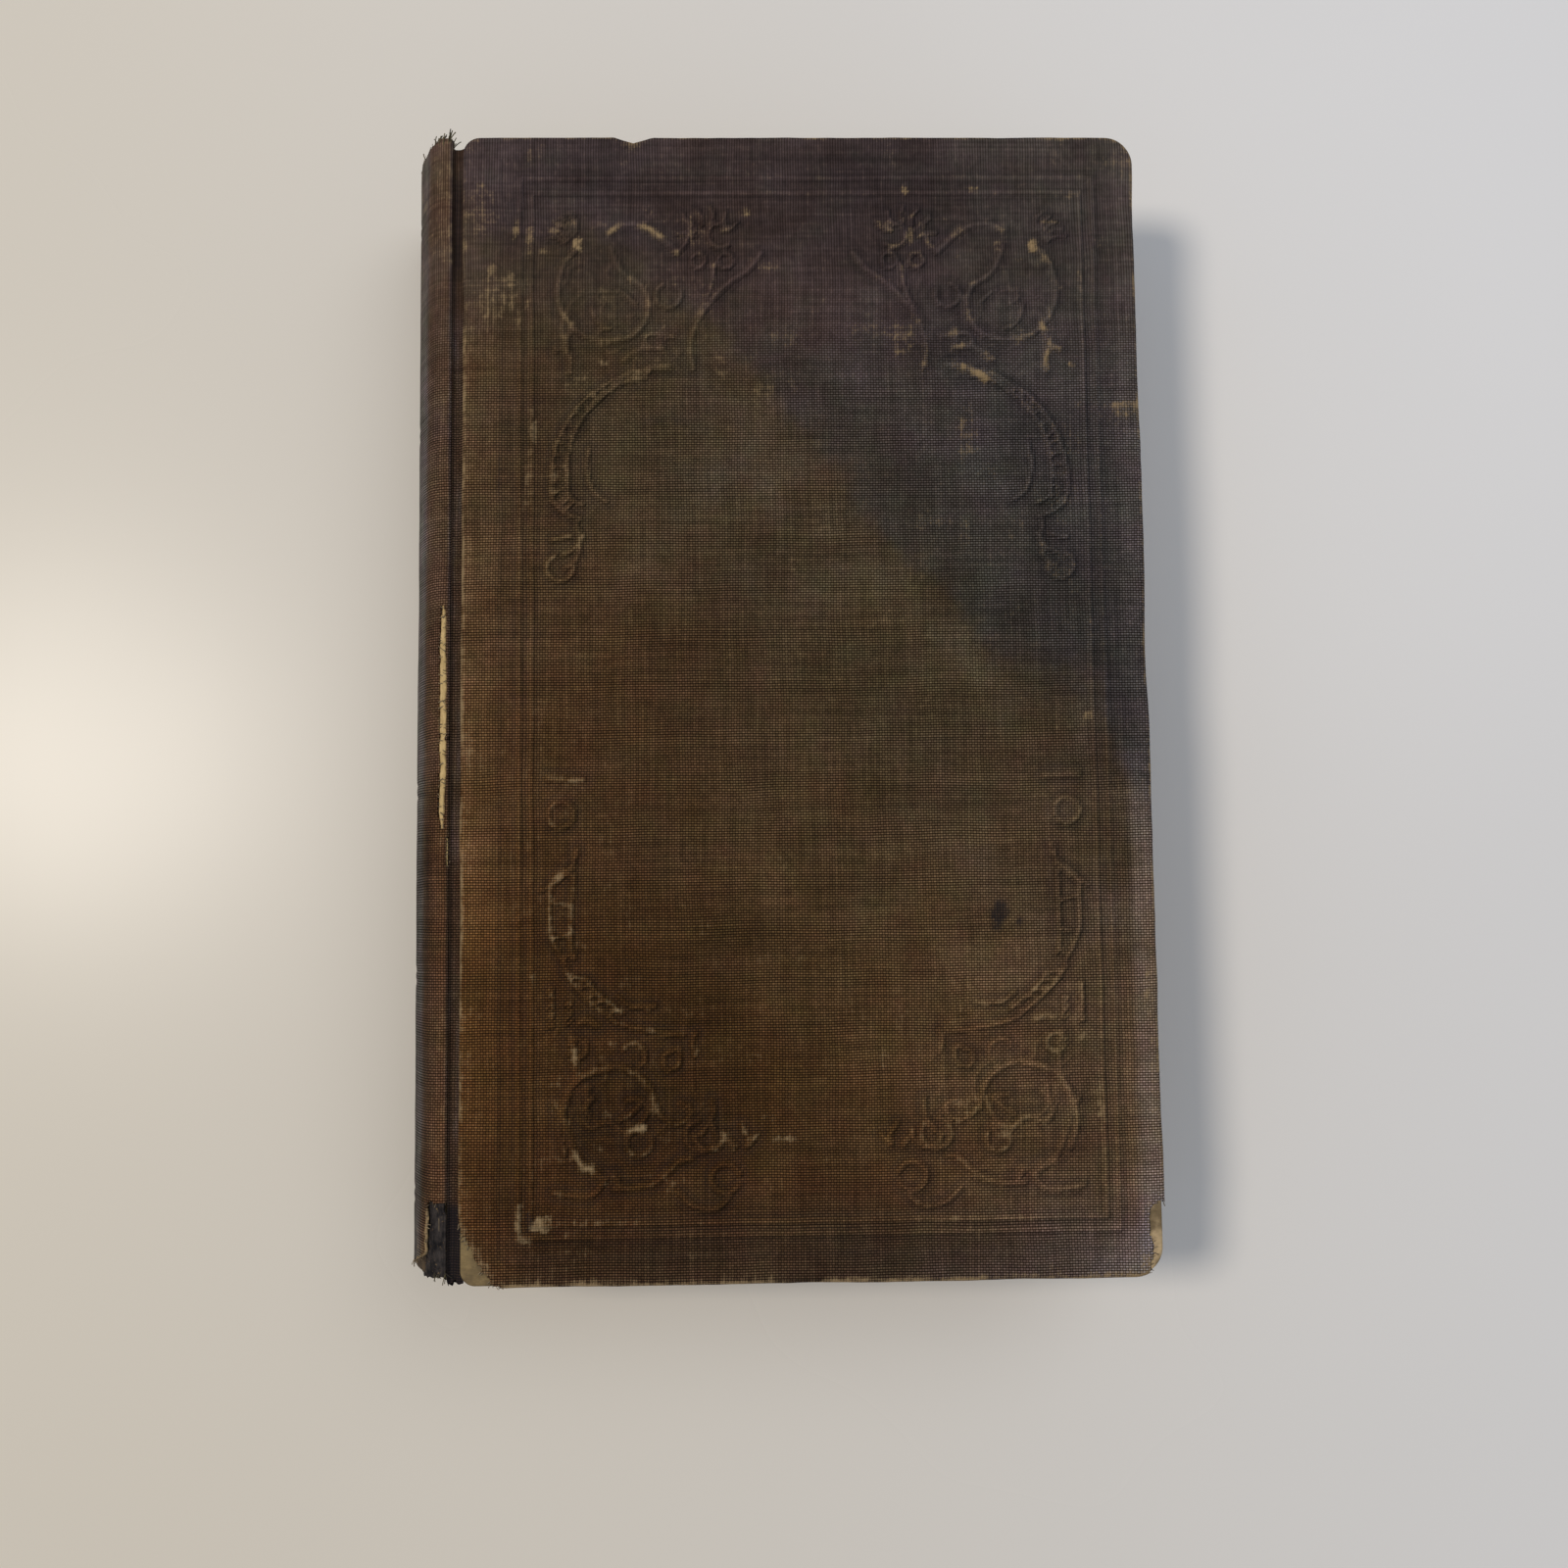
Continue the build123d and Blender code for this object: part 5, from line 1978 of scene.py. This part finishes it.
@dataclass
class Fray:
    """Loose threads along a torn edge."""

    name: str
    body: str
    slot: str
    length: float = 1.1
    thickness: float = 0.075
    share: float = 0.6
    wild: float = 0.6
    seed: int = 1

    def build(self, rim: Array, aim: Array, finish: Finish) -> Piece | None:
        """Grow the threads.

        Args:
            rim: Where they may start.
            aim: Which way each points.
            finish: Their material.

        Returns:
            The piece, or nothing where there is no edge.
        """
        if not len(rim):
            return None
        base = make_piece(self.name, rim, [], finish, fields={"aim": aim})
        tree = GeometryTree(
            self.name + "_tree",
            {
                "Length": self.length * MM,
                "Thickness": self.thickness * MM,
                "Share": self.share,
                "Wildness": self.wild,
                "Seed": self.seed,
            },
        )
        chance = tree.node(
            "FunctionNodeRandomValue", {"Probability": tree.size("Share"), "Seed": tree.size("Seed")}, 3,
            data_type="BOOLEAN"
        )
        points = tree.node("GeometryNodeMeshToPoints", {"Mesh": tree.size("Geometry"), "Selection": chance})
        bend = tree.node(
            "GeometryNodeCurveQuadraticBezier",
            {"Resolution": 5, "Start": (0, 0, 0), "Middle": (0.05, 0, 0.55), "End": (0.32, 0.1, 1.0)}
        )
        taper = tree.less(1.1, tree.node("GeometryNodeSplineParameter", {}))
        curve = tree.node("GeometryNodeSetCurveRadius", {"Curve": bend, "Radius": taper})
        radius = tree.over(tree.size("Thickness"), tree.size("Length"))
        ring = tree.node("GeometryNodeCurvePrimitiveCircle", {"Resolution": 4, "Radius": radius})
        thread = tree.node(
            "GeometryNodeCurveToMesh", {"Curve": curve, "Profile Curve": ring, "Fill Caps": True}
        )
        aims = tree.held("aim", "FLOAT_VECTOR")
        stray = tree.node(
            "FunctionNodeRandomValue", {0: (-1, -1, -0.25), 1: (1, 1, 0.75), "Seed": tree.size("Seed")}, 0,
            data_type="FLOAT_VECTOR"
        )
        stray = tree.node(
            "ShaderNodeVectorMath", {0: stray, "Scale": tree.size("Wildness")}, operation="SCALE"
        )
        way = tree.node("ShaderNodeVectorMath", {0: aims, 1: stray}, operation="ADD")
        turn = tree.node("FunctionNodeAlignRotationToVector", {"Vector": way}, axis="Z")
        scale = tree.times(tree.random(0.35, 1.25, tree.size("Seed")), tree.size("Length"))
        threads = tree.node(
            "GeometryNodeInstanceOnPoints",
            {"Points": points, "Instance": thread, "Rotation": turn, "Scale": scale}
        )
        toned = tree.hold(threads, "thread_tone", tree.random(0.0, 1.0, self.seed + 5))
        piece = tree.run(base, toned, finish)
        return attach(piece, self.body)


@dataclass
class Leaves:
    """The cut edges of the leaves round three sides of the block."""

    count: int = 118
    hollow: float = 4.8
    proud: float = 0.12
    strip: float = 1.4

    def build(self, finish: Finish) -> Piece:
        """Stack the leaves.

        Args:
            finish: Their material.

        Returns:
            The piece, riding on the block of leaves.
        """
        low, high = node_box("text_block")
        fly_low, fly_high = node_box("front_flyleaf")
        _, back_high = node_box("back_flyleaf")
        bottom, top = back_high[2], fly_low[2]
        pitch = (top - bottom) / self.count
        left, right, tail, head = fly_low[0] + 0.6, fly_high[0], low[1], high[1]
        run = [(x, tail) for x in np.linspace(left, right, 36)]
        run += [(right, y) for y in np.linspace(tail, head, 60)[1:]]
        run += [(x, head) for x in np.linspace(right, left, 36)[1:]]
        line = np.array(run)
        out = np.zeros_like(line)
        out[:, 1] = np.where(np.isclose(line[:, 1], tail), -1, np.where(np.isclose(line[:, 1], head), 1, 0))
        out[:, 0] = np.isclose(line[:, 0], right)
        n = len(line)
        rows = []
        for shift, level in (
            (-self.strip, 0.0), (self.proud, 0.0), (self.proud, 0.62 * pitch), (-self.strip, 0.62 * pitch)
        ):
            rows.append(np.column_stack([line + out * shift, np.full(n, bottom + 0.19 * pitch + level)]))
        points = np.vstack(rows)
        fore = np.concatenate([(line[:, 0] - left) / (right - left)] * 4)
        edge = np.concatenate([np.zeros(n), np.ones(n), np.ones(n), np.zeros(n)])
        j = np.arange(n - 1)
        quads = np.vstack([np.stack([j, j + 1, n + j + 1, n + j], 1) + k * n for k in range(3)])
        base = make_piece("leaf_edges", points, quads, finish, fields={"fore": fore, "edge": edge})
        tree = GeometryTree(
            "leaf_edges_tree",
            {
                "Count": self.count,
                "Pitch": pitch * MM,
                "Hollow": self.hollow * MM,
                "Unevenness": 0.00022,
                "Seed": 7,
            },
        )
        step = tree.joined(z=tree.size("Pitch"))
        levels = tree.node("GeometryNodeMeshLine", {"Count": tree.size("Count"), "Offset": step})
        index = tree.node("GeometryNodeInputIndex", {})
        stack = tree.node(
            "GeometryNodeInstanceOnPoints", {"Points": levels, "Instance": tree.size("Geometry")}
        )
        stack = tree.hold(stack, "leaf_tone", tree.random(0.0, 1.0, tree.size("Seed")))
        stack = tree.hold(stack, "leaf_place", tree.over(index, tree.size("Count")))
        real = tree.node("GeometryNodeRealizeInstances", {"Geometry": stack})
        off_middle = tree.scaled(tree.held("leaf_place"), 2.0, -1.0)
        bow = tree.less(1.0, tree.times(off_middle, off_middle))
        pull = tree.times(tree.times(bow, tree.size("Hollow")), tree.times(tree.held("fore"), -1.0))
        place = tree.node("GeometryNodeInputPosition", {})
        layered = tree.stretched(place, (9.0, 9.0, 620.0))
        gather = tree.node("ShaderNodeTexNoise", {"Vector": layered, "Scale": 1.0, "Detail": 2.0})
        own = tree.scaled(tree.held("leaf_tone"), 0.9, -0.45)
        stray = tree.times(tree.plus(tree.scaled(gather, 2.4, -1.2), own), tree.size("Unevenness"))
        uneven = tree.times(stray, tree.held("edge"))
        _, y, _ = tree.parts(place)
        on_side = tree.sum("GREATER_THAN", tree.sum("ABSOLUTE", y), (head - 0.3) * MM)
        shift_y = tree.times(tree.times(tree.sum("SIGN", y), on_side), uneven)
        shift_x = tree.plus(pull, tree.times(tree.less(1.0, on_side), uneven))
        moved = tree.node(
            "GeometryNodeSetPosition", {"Geometry": real, "Offset": tree.joined(shift_x, shift_y)}
        )
        piece = tree.run(base, moved, finish)
        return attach(piece, "text_block")


# --- Room ------------------------------------------------------------------------------


@dataclass
class Studio:
    """Pale table, soft light from the left, and a camera almost straight above."""

    view_angle: float = 53.0
    table_size: float = 6.0
    camera_from_cover: Spot = (-9.5, -36.3, 288.9)
    camera_turn: Spot = (4.73, -1.21, -0.67)

    def table(self) -> None:
        """Lay the table top under the book."""
        half = self.table_size / 2 / MM
        corners = np.array([(-half, -half, 0), (half, -half, 0), (half, half, 0), (-half, half, 0)])
        top = make_piece("table_top", corners, [(0, 1, 2, 3)], TableFinish().build())
        top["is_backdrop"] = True

    def lamp(self, name: str, spot: Spot, aim: Spot, size: float, power: float, colour: Colour) -> None:
        """Hang a soft square lamp.

        Args:
            name: Its name.
            spot: Where it hangs, in metres.
            aim: Where it points.
            size: Its width.
            power: Its power in watts.
            colour: Its colour.
        """
        data = bpy.data.lights.new(name, "AREA")
        data.shape, data.size, data.energy, data.color = "DISK", size, power, colour
        lamp = bpy.data.objects.new(name, data)
        lamp.location = spot
        lamp.rotation_mode = "QUATERNION"
        lamp.rotation_quaternion = (Vector(aim) - Vector(spot)).to_track_quat("-Z", "Y")
        bpy.context.scene.collection.objects.link(lamp)

    def lights(self) -> None:
        """Light the room."""
        world = bpy.data.worlds.new("room")
        world.use_nodes = True
        shade = world.node_tree.nodes["Background"]
        shade.inputs["Color"].default_value = (0.74, 0.84, 1.0, 1)
        shade.inputs["Strength"].default_value = 0.35
        bpy.context.scene.world = world
        self.lamp("window", (-0.62, 0.12, 1.15), (0, 0, 0), 0.30, 7.6, (1.0, 0.93, 0.83))
        self.lamp("ceiling", (0.9, 0.9, 1.9), (0, 0, 0), 1.6, 9.0, (0.95, 0.97, 1.0))

    def camera(self) -> None:
        """Set the camera over the front cover."""
        low, high = node_box("front_cloth")
        centre = (low + high) / 2
        data = bpy.data.cameras.new("camera")
        data.sensor_width = 36.0
        data.lens = 18.0 / math.tan(math.radians(self.view_angle / 2))
        data.clip_start, data.clip_end = 0.01, 20.0
        camera = bpy.data.objects.new("camera", data)
        x, y, z = self.camera_from_cover
        camera.location = ((centre[0] + x) * MM, (centre[1] + y) * MM, z * MM)
        camera.rotation_euler = tuple(math.radians(a) for a in self.camera_turn)
        bpy.context.scene.collection.objects.link(camera)
        bpy.context.scene.camera = camera

    def build(self) -> None:
        """Make the room and set how its light is shown."""
        self.camera()
        self.table()
        self.lights()
        bpy.context.scene.view_settings.view_transform = "Standard"


def dress_frame() -> None:
    """Give the CAD pieces that stay in sight their finishes."""
    paper = {}
    for side in ("front", "back"):
        low, high = node_box(f"{side}_pastedown")
        paper[f"{side}_pastedown"] = PaperFinish(
            f"{side}_pastedown_paper", tuple(low[:2]), tuple(high[:2])
        ).build()
        low, high = node_box(f"{side}_flyleaf")
        paper[f"{side}_flyleaf"] = PaperFinish(
            f"{side}_flyleaf_paper", tuple(low[:2]), tuple(high[:2]), colour=(0.60, 0.48, 0.31)
        ).build()
    board = BoardFinish("pasteboard").build()
    mull = MullFinish("mull").build()
    finishes = {
        **paper,
        "front_board": board,
        "back_board": board,
        "front_mull_flange": mull,
        "back_mull_flange": mull,
        "spine_mull": mull,
        # Darker than the cut leaf edges: painted shade standing for the dark gaps between the leaves.
        "text_block": LeafEdgeFinish(
            "leaf_block", pale=(0.42, 0.315, 0.19), dark=(0.14, 0.09, 0.042)
        ).build(),
        "sewing_cords": CordFinish("hemp_cord").build(),
        "spine_lining": CardFinish(
            "lining_paper", light=(0.20, 0.13, 0.07), dark=(0.06, 0.04, 0.025)
        ).build(),
        "spine_inlay": CardFinish("inlay_card", light=(0.12, 0.08, 0.045), dark=(0.035, 0.026, 0.02)).build(),
    }
    for name, finish in finishes.items():
        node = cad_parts[name]
        node.data.materials.clear()
        node.data.materials.append(finish)


def report(piece: Piece | None) -> None:
    """Log one finished piece."""
    if piece is not None:
        LOG.info("%s: %d faces", piece.name, len(piece.data.polygons))


def main() -> None:
    """Build every piece in order."""
    logging.basicConfig(level=logging.INFO, format="%(name)s %(message)s")
    Studio().build()
    dress_frame()
    cloth = ClothFinish("book_cloth").build()
    threads = ThreadFinish("cloth_threads", light=(0.30, 0.22, 0.13), dark=(0.07, 0.05, 0.035)).build()
    front, back = Cover(Side.FRONT), Cover(
        Side.BACK, cell=0.62, sunk=0.2, panel=StampedPanel(height=0.17, frame_height=0.15)
    )
    report(front.build(cloth))
    report(back.build(cloth))
    spine = Spine()
    report(spine.build(cloth))
    report(
        spine.under_layer(
            CardFinish(
                "torn_paper", light=(0.056, 0.045, 0.040), dark=(0.009, 0.008, 0.009),
                crumb=(0.30, 0.19, 0.08), patches_mm=1.6
            ).build()
        )
    )
    report(
        spine.split_paper(
            CardFinish(
                "split_paper", light=(0.68, 0.48, 0.22), dark=(0.48, 0.33, 0.14), crumb=(0.72, 0.56, 0.33),
                patches_mm=1.2
            ).build()
        )
    )
    for side in Side:
        joint = Joint(side)
        report(joint.cloth(cloth))
        low, high = node_box(f"{side.value}_pastedown")
        report(joint.paper(PaperFinish(f"{side.value}_joint_paper", (-60, low[1]), (-40, high[1])).build()))
    report(
        Fray(
            "front_corner_threads", "front_cover", "book_cloth", share=0.3, length=0.6, seed=11
        ).build(front.rim, front.rim_aim, threads)
    )
    report(
        Fray(
            "spine_edge_threads", "text_block", "book_cloth", share=0.5, length=0.7, wild=0.8, seed=12
        ).build(spine.rim, spine.rim_aim, threads)
    )
    tuft = ThreadFinish("head_tuft", light=(0.17, 0.135, 0.065), dark=(0.022, 0.020, 0.016)).build()
    report(
        Fray(
            "spine_head_tuft", "text_block", "book_cloth", share=1.0, length=2.0, wild=0.5, seed=13
        ).build(*spine.loose_ends((0.3, 5.0), 94.0, 46, 1.0), tuft)
    )
    report(
        Fray(
            "spine_tail_threads", "text_block", "book_cloth", share=0.8, length=1.5, wild=0.6, seed=14
        ).build(*spine.loose_ends((0.0, 3.2), -93.0, 12, -1.0), tuft)
    )
    report(Leaves().build(LeafEdgeFinish("leaf_edge", own_tone=True).build()))
    low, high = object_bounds()


if __name__ == "__main__":
    main()
